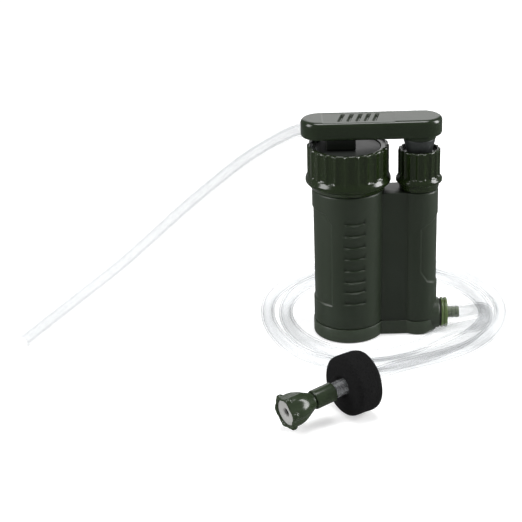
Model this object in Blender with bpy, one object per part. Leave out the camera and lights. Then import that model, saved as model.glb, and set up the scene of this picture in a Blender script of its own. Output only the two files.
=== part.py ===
"""Pump water filter: a filter barrel and a hand pump barrel joined by a web, with two hoses.

Origin: on the filter barrel's axis, at the bottom of the base. +X runs to the pump barrel and the
inlet nozzle, -Y is the front and +Z is up. All sizes are in metres.
"""

import math

import bmesh
import bpy
from mathutils import Vector

# Clearance between neighbouring pieces.
GAP = 0.0003

# Layout.
AXIS_SPACING = 0.0505
BARREL_HEIGHT = 0.1025
WEB_HALF = 0.0109
PUMP_SHOULDER_DROP = 0.0025
EDGE_BEVEL = 0.0008

# Base cover.
BASE_HEIGHT = 0.0107
BASE_STEP = 0.0004
BASE_WALL = 0.0022
BASE_FLOOR = 0.0025

# Filter barrel.
FILTER_R = 0.0260
FILTER_TAPER = 0.0007
NECK_STEP = 0.0010
FILTER_NECK_WALL = 0.0025
FILTER_NECK_HEIGHT = 0.0205
BARREL_FLOOR = 0.0020
FILTER_PORT_R = 0.0030

# Pump barrel.
PUMP_R = 0.0139
PUMP_WALL = 0.0029
PUMP_NECK_WALL = 0.0016
PUMP_NECK_HEIGHT = 0.0160
PUMP_PORT_R = 0.0025
INLET_PORT_R = 0.0016

# Grips: shallow scoops down the filter barrel's front, and a recessed panel on each barrel's side.
SCOOP_COUNT = 8
SCOOP_TOP_DROP = 0.0205
SCOOP_PITCH = 0.0089
SCOOP_R = 0.0035
SCOOP_DEPTH = 0.0008
SCOOP_ANGLE = math.radians(-82.0)
PANEL_DEPTH = 0.0008
FILTER_PANEL_HALF = math.radians(59.0)
PUMP_PANEL_HALF = math.radians(85.0)
FILTER_PANEL_SPAN = (0.0175, 0.0140)
PUMP_PANEL_LOW = (0.0390, 0.0310, 0.0280)
PUMP_PANEL_TOP = (0.0730, 0.0780, 0.0806)

# Filter head and its ring nut.
HEAD_FLANGE = 0.0039
HEAD_BOSS_HEIGHT = 0.0051
HEAD_PLUG_DEPTH = 0.0060
HEAD_BORE_R = 0.0025
ORING_DEPTH = 0.0016
ORING_WIDTH = 0.0024
NUT_THREAD_CLEARANCE = 0.0006
NUT_WALL = 0.0035
NUT_LIP = 0.0055
NUT_LIP_REACH = 0.0020
NUT_RIM_HEIGHT = 0.0015
NUT_RIM_WALL = 0.0025
NUT_LIFT = 0.0008
NUT_SKIRT = 0.0033
SKIRT_WALL = 0.0012
NUT_FLANGE = 0.0013
NUT_RIBS = 24
FLUTE_DEPTH = 0.0007
FLUTE_SHAPE = (0.0, 1.0, 1.0)

# Gland nut, bush and seal of the pump.
GLAND_WALL = 0.0021
GLAND_LIFT = 0.0008
GLAND_SKIRT = 0.0042
GLAND_RIM_HEIGHT = 0.0028
GLAND_RIM_WALL = 0.0024
GLAND_FLANGE = 0.0015
GLAND_RIBS = 18
BUSH_HEIGHT = 0.0080

# Plunger.
ROD_R = 0.0050
ROD_SPIGOT_R = 0.0035
COLLAR_R_TOP = 0.0112
COLLAR_R_BOTTOM = 0.0090
COLLAR_HEIGHT = 0.0105
PISTON_HEIGHT = 0.0120
PISTON_CLEARANCE = 0.0006
PISTON_LIFT = 0.0050
PISTON_SOCKET = 0.0060
SEAL_DEPTH = 0.0017
SEAL_WIDTH = 0.0030
SCREW_R = 0.0015
PIVOT_SCREW_LENGTH = 0.0100
PIVOT_HEAD_R = 0.0055
PIVOT_HEAD_HEIGHT = 0.0020

# Handle.
HANDLE_LEFT = -0.0333
HANDLE_OVERHANG = 0.0159
HANDLE_HALF_WIDTH = 0.0134
HANDLE_THICK = 0.0130
HANDLE_WALL = 0.0020
HANDLE_RISE = 0.0065
HANDLE_ROUND = 0.0030
GRIP_SLOTS = (0.0287, 0.0350, 0.0413, 0.0471, 0.0531)
GRIP_SLOT_HALF = (0.0008, 0.0070)
GRIP_SLOT_DEPTH = 0.0008
PLATE_THICK = 0.0030
HUB_INSET = 0.0016
HUB_DROP = 0.0027
POST_R = 0.0035
PLATE_SCREW_INSETS = (0.0185, 0.0555)
PLATE_SCREW_HEAD_R = 0.0027
PLATE_SCREW_HEAD = 0.0012
PLATE_SCREW_LENGTH = 0.0075

# Outlet spout: a block under the handle with a barb behind it.
SPOUT_BLOCK = (-0.0156, 0.0051, -0.0100, 0.0100)
SPOUT_ARM = (-0.0100, 0.0020, 0.0080, 0.0228)
SPOUT_TOWER_TOP = 0.0022
BARB_Y = 0.0190
BARB_DROP = 0.0016
BARB_LENGTH = 0.0140

# Inlet nozzle.
NOZZLE_Z = 0.0115
BOSS_R = 0.0112
BOSS_REACH = 0.0020
GASKET = 0.0006
SPIGOT_R = 0.0065
SPIGOT_LENGTH = 0.0022
FLANGE_R = 0.0110
FLANGE_THICK = 0.0046
VALVE_BORE_R = 0.0045
VALVE_THICK = 0.0011
VALVE_LIFT = 0.0009
VALVE_LIP = 0.0010
VALVE_NOTCH = 0.0018
VALVE_LOBES = 5
BARB_R = 0.0038
BARB_RIDGE_R = 0.0043
BARB_BORE_R = 0.0018
NOZZLE_BARB_LENGTH = 0.0091

# Cartridge.
CARTRIDGE_CLEARANCE = 0.0020
CARTRIDGE_WALL = 0.0013
CARTRIDGE_CAP = 0.0057
MEMBRANE_R = 0.0090
CARBON_R = 0.0140
CARTRIDGE_PORT_R = 0.0020

# Hoses, float and strainer.
HOSE_R = 0.0052
FLOAT_R = 0.0209
FLOAT_LENGTH = 0.0200
FLOAT_ROUND = 0.0036
FLOAT_HOLE_R = 0.0059
FLOAT_OFFSET = (-0.0841, -0.1242)
FLOAT_HEADING = math.radians(213.0)
STRAINER_STAND_OFF = 0.0075
STRAINER_LIFT = 0.0043
STRAINER_TILT = math.radians(6.0)
SLEEVE_R = 0.0066
SLEEVE_LENGTH = 0.0160
BELL_NECK_R = 0.0060
BELL_R = 0.0119
BELL_LENGTH = 0.0230
BELL_WALL = 0.0014
DISC_INSET = 0.0015
DISC_THICK = 0.0025
DISC_HOLE_R = 0.0028
HOSE_SPACING = 0.0180
HOSE_LEAD = 0.0015

# Derived heights and places.
BODY_Z = BASE_HEIGHT + GAP
FLOOR_Z = BODY_Z + BARREL_FLOOR
FILTER_R_BOTTOM = FILTER_R - FILTER_TAPER
FILTER_SHOULDER_Z = BODY_Z + BARREL_HEIGHT
PUMP_SHOULDER_Z = FILTER_SHOULDER_Z - PUMP_SHOULDER_DROP
FILTER_NECK_R = FILTER_R - NECK_STEP
FILTER_BORE_R = FILTER_NECK_R - FILTER_NECK_WALL
CARTRIDGE_R = FILTER_BORE_R - CARTRIDGE_CLEARANCE
PUMP_BORE_R = PUMP_R - PUMP_WALL
HEAD_BOSS_R = FILTER_NECK_R - NUT_LIP_REACH
HUB_R = HANDLE_HALF_WIDTH - HUB_INSET
FILTER_NECK_Z = FILTER_SHOULDER_Z + FILTER_NECK_HEIGHT
PUMP_NECK_R = PUMP_BORE_R + PUMP_NECK_WALL
PUMP_NECK_Z = PUMP_SHOULDER_Z + PUMP_NECK_HEIGHT
HEAD_Z = FILTER_NECK_Z + GAP
HEAD_BOSS_Z = HEAD_Z + HEAD_FLANGE
HEAD_TOP_Z = HEAD_BOSS_Z + HEAD_BOSS_HEIGHT
HEAD_PLUG_Z = FILTER_NECK_Z - HEAD_PLUG_DEPTH
NUT_LIP_Z = HEAD_BOSS_Z + GAP
NUT_LIP_TOP_Z = NUT_LIP_Z + NUT_LIP
NUT_TOP_Z = NUT_LIP_TOP_Z + NUT_RIM_HEIGHT
HANDLE_Z = NUT_TOP_Z + HANDLE_RISE
HUB_Z = HANDLE_Z - HUB_DROP
COLLAR_TOP_Z = HUB_Z - GAP
COLLAR_Z = COLLAR_TOP_Z - COLLAR_HEIGHT
GLAND_RECESS_Z = COLLAR_Z - GAP
GLAND_TOP_Z = GLAND_RECESS_Z + GLAND_RIM_HEIGHT
PLATE_Z = HANDLE_Z + GAP
PLATE_TOP_Z = PLATE_Z + PLATE_THICK
ROD_TOP_Z = PLATE_TOP_Z + GAP
PISTON_Z = FLOOR_Z + PISTON_LIFT
HANDLE_RIGHT = AXIS_SPACING + HANDLE_OVERHANG
BOSS_FACE_X = AXIS_SPACING + PUMP_R + BOSS_REACH
FLANGE_X = BOSS_FACE_X + GASKET + 2 * GAP
NOZZLE_FACE_X = FLANGE_X + FLANGE_THICK
NOZZLE_END_X = NOZZLE_FACE_X + NOZZLE_BARB_LENGTH
SPOUT_Z = HEAD_TOP_Z + GAP
BARB_Z = HANDLE_Z - BARB_DROP
BARB_END_X = SPOUT_ARM[0] - BARB_LENGTH
PUMP_AXIS = (AXIS_SPACING, 0.0)
FLOAT_AXIS = Vector((math.cos(FLOAT_HEADING), math.sin(FLOAT_HEADING), 0.0))

# Centre line of the intake hose, chosen by hand: x from the nozzle's end, then y and z.
INTAKE_ROUTE = [
    (0.0101, -0.0018, 0.0136), (0.0165, -0.0078, 0.0164), (0.0191, -0.0164, 0.0169),
    (0.0163, -0.0250, 0.0167), (0.0103, -0.0310, 0.0166), (0.0015, -0.0342, 0.0164),
    (-0.0093, -0.0366, 0.0152), (-0.0213, -0.0402, 0.0118), (-0.0353, -0.0460, 0.0076),
    (-0.0573, -0.0526, 0.0054), (-0.0873, -0.0520, 0.0054), (-0.1113, -0.0330, 0.0054),
    (-0.1253, -0.0030, 0.0054), (-0.1271, 0.0290, 0.0054), (-0.1158, 0.0600, 0.0054),
    (-0.0883, 0.0840, 0.0054), (-0.0543, 0.0915, 0.0054), (-0.0213, 0.0845, 0.0054),
    (0.0067, 0.0610, 0.0054), (0.0197, 0.0320, 0.0054), (0.0202, 0.0030, 0.0054),
    (0.0107, -0.0195, 0.0054), (-0.0083, -0.0415, 0.0054), (-0.0323, -0.0580, 0.0054),
    (-0.0593, -0.0690, 0.0054), (-0.0883, -0.0685, 0.0054), (-0.1153, -0.0530, 0.0054),
    (-0.1333, -0.0220, 0.0054), (-0.1413, 0.0150, 0.0054), (-0.1378, 0.0480, 0.0054),
    (-0.1198, 0.0795, 0.0054), (-0.0893, 0.1015, 0.0054), (-0.0533, 0.1080, 0.0054),
    (-0.0153, 0.1010, 0.0054), (0.0162, 0.0775, 0.0054), (0.0312, 0.0440, 0.0054),
    (0.0332, 0.0130, 0.0054), (0.0242, -0.0175, 0.0054), (0.0057, -0.0430, 0.0054),
]
# Where it rises to the float: x from the nozzle's end, y, and z as a share of the float's radius.
RISE_ROUTE = [
    (-0.0168, -0.0645, 0.4115), (-0.0363, -0.0825, 0.6507), (-0.0528, -0.0985, 0.8708),
    (-0.0658, -0.1110, 0.9856),
]
# Centre line of the outlet hose: x and y from the barb's end, and z as a share of the barb's height.
OUTLET_ROUTE = [
    (-0.0100, -0.0004, 0.9980), (-0.0260, -0.0024, 0.9574), (-0.0462, -0.0055, 0.8850),
    (-0.0713, -0.0100, 0.7680), (-0.0956, -0.0155, 0.6449), (-0.1182, -0.0195, 0.5173),
    (-0.1387, -0.0230, 0.4043), (-0.1675, -0.0290, 0.2646), (-0.1940, -0.0332, 0.1363),
    (-0.2150, -0.0363, 0.0332),
]

# Colours, roughness and metallic value of each material.
MATERIALS = {
    "green_plastic": ((0.042, 0.055, 0.036), 0.42, 0.0),
    "gloss_green": ((0.030, 0.045, 0.024), 0.25, 0.0),
    "grey_plastic": ((0.085, 0.090, 0.090), 0.40, 0.0),
    "white_plastic": ((0.700, 0.700, 0.680), 0.45, 0.0),
    "seal_rubber": ((0.020, 0.020, 0.020), 0.65, 0.0),
    "silicone": ((0.780, 0.780, 0.760), 0.50, 0.0),
    "steel": ((0.560, 0.560, 0.550), 0.30, 1.0),
    "carbon": ((0.015, 0.015, 0.015), 0.90, 0.0),
    "fibre": ((0.820, 0.800, 0.740), 0.95, 0.0),
    "foam": ((0.016, 0.016, 0.017), 0.95, 0.0),
    "clear_hose": ((0.860, 0.870, 0.880), 0.15, 0.0),
}


def clear_scene():
    """Remove the objects that the file starts with."""
    for obj in list(bpy.data.objects):
        bpy.data.objects.remove(obj)


def material(name):
    """The named material, made on its first use."""
    found = bpy.data.materials.get(name)
    if found:
        return found
    colour, roughness, metallic = MATERIALS[name]
    made = bpy.data.materials.new(name)
    made.use_nodes = True
    shader = made.node_tree.nodes["Principled BSDF"]
    shader.inputs["Base Color"].default_value = (*colour, 1.0)
    shader.inputs["Roughness"].default_value = roughness
    shader.inputs["Metallic"].default_value = metallic
    return made


def loft(name, finish, loops, ring=False, origin=(0.0, 0.0, 0.0)):
    """Join loops of equal count into one closed body, capped at its ends unless it is a ring."""
    mesh = bpy.data.meshes.new(name)
    bm = bmesh.new()
    shift = Vector(origin)
    rows = [[bm.verts.new(Vector(point) - shift) for point in loop] for loop in loops]
    pairs = list(zip(rows, rows[1:]))
    if ring:
        pairs.append((rows[-1], rows[0]))
    count = len(rows[0])
    for low, high in pairs:
        for i in range(count):
            j = (i + 1) % count
            bm.faces.new((low[i], low[j], high[j], high[i]))
    if not ring:
        bm.faces.new(rows[0][::-1])
        bm.faces.new(rows[-1])
    bmesh.ops.recalc_face_normals(bm, faces=bm.faces)
    bm.to_mesh(mesh)
    bm.free()
    mesh.shade_smooth()
    mesh.set_sharp_from_angle(angle=math.radians(35.0))
    mesh.materials.append(material(finish))
    obj = bpy.data.objects.new(name, mesh)
    obj.location = origin
    bpy.context.scene.collection.objects.link(obj)
    return obj


def circle(r, z, count, centre=(0.0, 0.0), depth=0.0):
    """Points of a level circle; depth carves the flutes between a nut's ribs."""
    points = []
    for i in range(count):
        angle = 2 * math.pi * i / count
        reach = r - depth * FLUTE_SHAPE[i % len(FLUTE_SHAPE)]
        points.append((centre[0] + reach * math.cos(angle), centre[1] + reach * math.sin(angle), z))
    return points


def turned(name, finish, profile, centre=(0.0, 0.0), ring=False, count=24, origin=None):
    """A body turned about the upright axis through centre; profile lists (r, z) or (r, z, flute)."""
    loops = [circle(p[0], p[1], count, centre, *p[2:]) for p in profile]
    return loft(name, finish, loops, ring, origin or (*centre, 0.0))


def pointed(obj, place, direction):
    """Turn a body made about its own upright axis to run along direction from place."""
    obj.rotation_euler = Vector(direction).to_track_quat("Z", "Y").to_euler()
    obj.location = place
    return obj


def block(name, finish, low, high):
    """A plain box between two corners."""
    outline = [(low[0], low[1]), (high[0], low[1]), (high[0], high[1]), (low[0], high[1])]
    return loft(name, finish, [[(x, y, z) for x, y in outline] for z in (low[2], high[2])])


def hide_tool(obj):
    """Mark a body that only shapes another one."""
    obj.hide_render = True
    obj.display_type = "WIRE"


def shape(target, tool, operation):
    """Join the tool to the target or cut the target with it."""
    hide_tool(tool)
    modifier = target.modifiers.new(tool.name, "BOOLEAN")
    modifier.operation = operation
    modifier.solver = "EXACT"
    modifier.object = tool


def join(target, *tools):
    for tool in tools:
        shape(target, tool, "UNION")


def cut(target, *tools):
    for tool in tools:
        shape(target, tool, "DIFFERENCE")


def rod_tool(name, r, start, end, count=24):
    """A round tool from start to end."""
    direction = Vector(end) - Vector(start)
    tool = turned(name, "green_plastic", [(r, 0.0), (r, direction.length)], count=count)
    return pointed(tool, start, direction)


def along_x(name, finish, profile, x=0.0, z=NOZZLE_Z, ring=True, count=24):
    """A body turned about a level axis along X; profile lists (r, distance along X)."""
    return pointed(turned(name, finish, profile, ring=ring, count=count), (x, 0.0, z), (1.0, 0.0, 0.0))


def body_shell():
    """Both barrels and the web between them, with their bores and ports."""
    body = turned("body_shell", "green_plastic", [
        (FILTER_R_BOTTOM, BODY_Z), (FILTER_R, FILTER_SHOULDER_Z - EDGE_BEVEL),
        (FILTER_R - EDGE_BEVEL, FILTER_SHOULDER_Z), (FILTER_NECK_R, FILTER_SHOULDER_Z),
        (FILTER_NECK_R, FILTER_NECK_Z)], count=48)
    pump = turned("pump_barrel_tool", "green_plastic", [
        (PUMP_R, BODY_Z), (PUMP_R, PUMP_SHOULDER_Z - EDGE_BEVEL), (PUMP_R - EDGE_BEVEL, PUMP_SHOULDER_Z),
        (PUMP_NECK_R, PUMP_SHOULDER_Z), (PUMP_NECK_R, PUMP_NECK_Z)], centre=PUMP_AXIS, count=36)
    web = block("web_tool", "green_plastic", (0.0, -WEB_HALF, BODY_Z),
                (AXIS_SPACING, WEB_HALF, PUMP_SHOULDER_Z))
    join(body, pump, web)
    top = FILTER_NECK_Z + BASE_HEIGHT
    inlet_z = FLOOR_Z + INLET_PORT_R + EDGE_BEVEL
    cut(body,
        rod_tool("filter_bore_tool", FILTER_BORE_R, (0.0, 0.0, FLOOR_Z), (0.0, 0.0, top), 48),
        rod_tool("pump_bore_tool", PUMP_BORE_R, (*PUMP_AXIS, FLOOR_Z), (*PUMP_AXIS, top), 36),
        rod_tool("filter_port_tool", FILTER_PORT_R, (0.0, 0.0, 0.0), (0.0, 0.0, 2 * FLOOR_Z)),
        rod_tool("pump_port_tool", PUMP_PORT_R, (*PUMP_AXIS, 0.0), (*PUMP_AXIS, 2 * FLOOR_Z)),
        rod_tool("inlet_port_tool", INLET_PORT_R, (AXIS_SPACING, 0.0, inlet_z), (BOSS_FACE_X, 0.0, inlet_z)))
    grips(body)


def panel_tool(name, centre, r, middle, half, lows, tops, steps=16):
    """A curved slab for a recessed panel: its floor has radius r, its ends follow lows and tops.

    lows and tops give heights from each side edge towards the panel's middle.
    """
    loops = ([], [])
    for reach, order in ((r, range(steps + 1)), (r + BASE_HEIGHT, range(steps, -1, -1))):
        for i in order:
            angle = middle + half * (2 * i / steps - 1)
            share = (1 - abs(2 * i / steps - 1)) * (len(lows) - 1)
            k = min(int(share), len(lows) - 2)
            for loop, heights in zip(loops, (lows, tops)):
                z = BODY_Z + heights[k] + (heights[k + 1] - heights[k]) * (share - k)
                loop.append((centre[0] + reach * math.cos(angle), centre[1] + reach * math.sin(angle), z))
    return loft(name, "green_plastic", loops)


def grips(body):
    """Cut the finger scoops and the two side panels into the barrels."""
    low, drop = FILTER_PANEL_SPAN
    top = BARREL_HEIGHT - drop
    cut(body,
        panel_tool("filter_panel_tool", (0.0, 0.0), FILTER_R_BOTTOM - PANEL_DEPTH, math.pi,
                   FILTER_PANEL_HALF, (low, low), (top, top)),
        panel_tool("pump_panel_tool", PUMP_AXIS, PUMP_R - PANEL_DEPTH, 0.0, PUMP_PANEL_HALF,
                   PUMP_PANEL_LOW, PUMP_PANEL_TOP))
    out = Vector((math.cos(SCOOP_ANGLE), math.sin(SCOOP_ANGLE), 0.0))
    along = Vector((-out.y, out.x, 0.0)) * SCOOP_PITCH
    for i in range(SCOOP_COUNT):
        z = FILTER_SHOULDER_Z - SCOOP_TOP_DROP - i * SCOOP_PITCH
        share = (z - BODY_Z) / BARREL_HEIGHT
        reach = FILTER_R_BOTTOM + FILTER_TAPER * share + SCOOP_R - SCOOP_DEPTH
        middle = out * reach + Vector((0.0, 0.0, z + SCOOP_R / 2))
        cut(body, rod_tool(f"scoop_{i + 1}_tool", SCOOP_R, middle - along, middle + along, 20))


def base_cover():
    """The tray under both barrels, with the threaded boss for the inlet nozzle."""
    filter_r = FILTER_R_BOTTOM + BASE_STEP
    pump_r = PUMP_R + BASE_STEP
    web = WEB_HALF + BASE_STEP
    base = turned("base_cover", "green_plastic", [(filter_r, 0.0), (filter_r, BASE_HEIGHT)], count=48)
    join(base,
         rod_tool("base_pump_tool", pump_r, (*PUMP_AXIS, 0.0), (*PUMP_AXIS, BASE_HEIGHT), 36),
         block("base_web_tool", "green_plastic", (0.0, -web, 0.0), (AXIS_SPACING, web, BASE_HEIGHT)),
         rod_tool("boss_tool", BOSS_R, (AXIS_SPACING + PUMP_BORE_R, 0.0, NOZZLE_Z),
                  (BOSS_FACE_X, 0.0, NOZZLE_Z), 32))
    over = 2 * (NOZZLE_Z + BOSS_R)
    tray_top = BASE_HEIGHT + EDGE_BEVEL
    cut(base,
        rod_tool("barrel_seat_tool", PUMP_R + GAP, (*PUMP_AXIS, BASE_HEIGHT), (*PUMP_AXIS, over), 36),
        rod_tool("tray_filter_tool", filter_r - BASE_WALL, (0.0, 0.0, BASE_FLOOR), (0.0, 0.0, tray_top), 48),
        rod_tool("tray_pump_tool", pump_r - BASE_WALL, (*PUMP_AXIS, BASE_FLOOR), (*PUMP_AXIS, tray_top), 36),
        block("tray_web_tool", "green_plastic", (0.0, BASE_WALL - web, BASE_FLOOR),
              (AXIS_SPACING, web - BASE_WALL, tray_top)),
        rod_tool("boss_bore_tool", SPIGOT_R + GAP, (AXIS_SPACING + PUMP_R, 0.0, NOZZLE_Z),
                 (FLANGE_X, 0.0, NOZZLE_Z)))
    stop_z = BODY_Z - GAP - VALVE_THICK - VALVE_LIFT - GAP
    join(base, rod_tool("valve_stop_tool", PUMP_PORT_R / 2, (*PUMP_AXIS, BASE_FLOOR / 2),
                        (*PUMP_AXIS, stop_z), 12))


def filter_head():
    """The fixed lid of the filter barrel and its seal."""
    flange_r = FILTER_NECK_R
    plug_r = FILTER_BORE_R - GAP
    middle = (HEAD_PLUG_Z + FILTER_NECK_Z) / 2
    groove_r = plug_r - ORING_DEPTH
    half = ORING_WIDTH / 2 + GAP
    turned("filter_head", "green_plastic", [
        (HEAD_BORE_R, HEAD_PLUG_Z), (plug_r, HEAD_PLUG_Z), (plug_r, middle - half),
        (groove_r, middle - half), (groove_r, middle + half), (plug_r, middle + half),
        (plug_r, HEAD_Z), (flange_r, HEAD_Z),
        (flange_r, HEAD_BOSS_Z), (HEAD_BOSS_R, HEAD_BOSS_Z), (HEAD_BOSS_R, HEAD_TOP_Z),
        (HEAD_BORE_R, HEAD_TOP_Z)], ring=True, count=40)
    square_ring("head_oring", "silicone", groove_r + GAP, plug_r - GAP / 2, middle, ORING_WIDTH, (0.0, 0.0))


def square_ring(name, finish, inner, outer, middle, width, centre, count=24):
    """A seal ring with its corners taken off."""
    half = width / 2
    chamfer = width / 4
    turned(name, finish, [
        (inner, middle - half), (outer - chamfer, middle - half), (outer, middle - half + chamfer),
        (outer, middle + half - chamfer), (outer - chamfer, middle + half), (inner, middle + half)],
        centre, ring=True, count=count)


def ring_nut():
    """The big ribbed nut that clamps the filter head."""
    inner = FILTER_NECK_R + NUT_THREAD_CLEARANCE
    outer = inner + NUT_WALL
    low = FILTER_SHOULDER_Z + NUT_LIFT
    step = low + NUT_SKIRT
    flange = outer + NUT_FLANGE
    rim = outer - NUT_RIM_WALL
    lip = HEAD_BOSS_R + GAP
    turned("filter_ring_nut", "gloss_green", [
        (inner, low), (inner + SKIRT_WALL, low), (outer - GAP, step), (flange, step + 0.0012),
        (flange, step + 0.0036), (outer, step + 0.0066), (outer, step + 0.0070, FLUTE_DEPTH),
        (outer, NUT_TOP_Z - 0.0012, FLUTE_DEPTH), (outer - 0.0010, NUT_TOP_Z), (rim, NUT_TOP_Z),
        (rim, NUT_LIP_TOP_Z), (lip, NUT_LIP_TOP_Z), (lip, NUT_LIP_Z), (inner, NUT_LIP_Z)],
        ring=True, count=NUT_RIBS * len(FLUTE_SHAPE))


def gland_nut():
    """The small ribbed nut at the top of the pump barrel."""
    inner = PUMP_NECK_R + GAP
    outer = inner + GLAND_WALL
    low = PUMP_SHOULDER_Z + GLAND_LIFT
    step = low + GLAND_SKIRT
    flange = outer + GLAND_FLANGE
    ceiling = PUMP_NECK_Z + GAP
    hole = ROD_R + 2 * GAP
    rim = outer - GLAND_RIM_WALL
    turned("gland_nut", "gloss_green", [
        (inner, low), (inner + SKIRT_WALL, low), (outer - GAP, step), (flange, step + 0.0010),
        (flange, step + 0.0030), (outer, step + 0.0050), (outer, step + 0.0054, FLUTE_DEPTH),
        (outer, GLAND_TOP_Z - 0.0010, FLUTE_DEPTH), (outer - 0.0008, GLAND_TOP_Z), (rim, GLAND_TOP_Z),
        (rim, GLAND_RECESS_Z), (hole, GLAND_RECESS_Z), (hole, ceiling), (inner, ceiling)],
        PUMP_AXIS, ring=True, count=GLAND_RIBS * len(FLUTE_SHAPE))


def gland_bush():
    """The bush that guides the rod, held in the barrel's neck, and its seal."""
    outer = PUMP_BORE_R - GAP
    inner = ROD_R + GAP
    top = PUMP_NECK_Z
    low = top - BUSH_HEIGHT
    middle = (low + top) / 2
    groove = inner + ORING_DEPTH
    half = ORING_WIDTH / 2 + GAP
    turned("gland_bush", "white_plastic", [
        (inner, low), (outer, low), (outer, top), (inner, top), (inner, middle + half),
        (groove, middle + half), (groove, middle - half), (inner, middle - half)],
        PUMP_AXIS, ring=True, count=32)
    square_ring("gland_oring", "seal_rubber", ROD_R + GAP / 2, groove - GAP, middle, ORING_WIDTH, PUMP_AXIS)


def plunger():
    """The rod, its collar, the piston with its seal, and the screw that keeps the handle on."""
    socket = PISTON_Z + PISTON_HEIGHT - PISTON_SOCKET
    origin = (*PUMP_AXIS, COLLAR_TOP_Z)
    bore_z = ROD_TOP_Z - PIVOT_SCREW_LENGTH - 2 * GAP
    rod = turned("plunger_rod", "grey_plastic", [
        (ROD_R, socket + GAP), (ROD_R, COLLAR_TOP_Z), (ROD_SPIGOT_R, COLLAR_TOP_Z),
        (ROD_SPIGOT_R, ROD_TOP_Z)], PUMP_AXIS, count=32, origin=origin)
    cut(rod, rod_tool("screw_bore_tool", SCREW_R + GAP, (*PUMP_AXIS, bore_z),
                      (*PUMP_AXIS, 2 * ROD_TOP_Z), 16))
    turned("plunger_collar", "grey_plastic", [
        (ROD_R + GAP, COLLAR_Z), (COLLAR_R_BOTTOM, COLLAR_Z), (COLLAR_R_TOP, COLLAR_TOP_Z - 0.0015),
        (COLLAR_R_TOP, COLLAR_TOP_Z), (ROD_R + GAP, COLLAR_TOP_Z)],
        PUMP_AXIS, ring=True, origin=origin)
    head = ROD_TOP_Z + GAP
    turned("pivot_screw", "steel", [
        (SCREW_R, head - PIVOT_SCREW_LENGTH), (SCREW_R, head), (PIVOT_HEAD_R, head),
        (PIVOT_HEAD_R, head + PIVOT_HEAD_HEIGHT)], PUMP_AXIS, count=24, origin=origin)
    piston(socket, origin)


def piston(socket, origin):
    """The piston on the rod's end, grooved for its seal."""
    outer = PUMP_BORE_R - PISTON_CLEARANCE
    groove = outer - SEAL_DEPTH
    middle = PISTON_Z + PISTON_HEIGHT / 2
    half = SEAL_WIDTH / 2 + GAP
    top = PISTON_Z + PISTON_HEIGHT
    turned("piston_head", "white_plastic", [
        (ROD_R + GAP, socket), (ROD_R + GAP, top), (outer, top), (outer, middle + half),
        (groove, middle + half), (groove, middle - half), (outer, middle - half), (outer, PISTON_Z)],
        PUMP_AXIS, count=32, origin=origin)
    square_ring("piston_seal", "seal_rubber", groove + GAP, PUMP_BORE_R - GAP, middle, SEAL_WIDTH, PUMP_AXIS)


def stadium(inset, z):
    """The handle's outline, drawn in by inset."""
    r = HANDLE_HALF_WIDTH - inset
    points = []
    for centre, start in ((HANDLE_RIGHT - HANDLE_HALF_WIDTH, -90), (HANDLE_LEFT + HANDLE_HALF_WIDTH, 90)):
        for step in range(11):
            angle = math.radians(start + 180 * step / 10)
            points.append((centre + r * math.cos(angle), r * math.sin(angle), z))
    return points


def handle():
    """The handle's upper shell, its under plate with the hub, and the two plate screws."""
    origin = (*PUMP_AXIS, HUB_Z)
    top = HANDLE_Z + HANDLE_THICK
    ceiling = top - HANDLE_WALL
    rounding = [(HANDLE_ROUND * (1 - math.cos(a)), top - HANDLE_ROUND * (1 - math.sin(a)))
                for a in (0.0, math.pi / 6, math.pi / 3, math.pi / 2)]
    loops = [stadium(HANDLE_WALL, ceiling), stadium(HANDLE_WALL, HANDLE_Z)]
    loops += [stadium(HANDLE_ROUND / 3, HANDLE_Z), stadium(0.0, HANDLE_Z + HANDLE_ROUND / 2)]
    loops += [stadium(inset, z) for inset, z in rounding]
    shell = loft("handle_shell", "gloss_green", loops, origin=origin)
    plate = loft("handle_plate", "green_plastic", [
        stadium(HANDLE_WALL + GAP, PLATE_Z), stadium(HANDLE_WALL + GAP, PLATE_TOP_Z)], origin=origin)
    join(plate, turned("hub_tool", "green_plastic", [
        (HUB_R, HUB_Z), (HUB_R, HANDLE_Z - GAP), (HUB_R - EDGE_BEVEL, HANDLE_Z - GAP),
        (HUB_R - EDGE_BEVEL, PLATE_TOP_Z - GAP)], PUMP_AXIS, count=40))
    hole_r = ROD_SPIGOT_R + GAP
    cut(plate, rod_tool("pivot_hole_tool", hole_r, (*PUMP_AXIS, 0.0), (*PUMP_AXIS, 2 * HANDLE_Z)))
    for number, inset in enumerate(GRIP_SLOTS, 1):
        x = HANDLE_LEFT + inset
        across, along = GRIP_SLOT_HALF
        cut(shell, block(f"slot_{number}_tool", "gloss_green", (x - across, -along, top - GRIP_SLOT_DEPTH),
                         (x + across, along, top + GRIP_SLOT_DEPTH)))
    for number, inset in enumerate(PLATE_SCREW_INSETS, 1):
        plate_screw(shell, plate, number, HANDLE_LEFT + inset, ceiling, origin)


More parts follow.
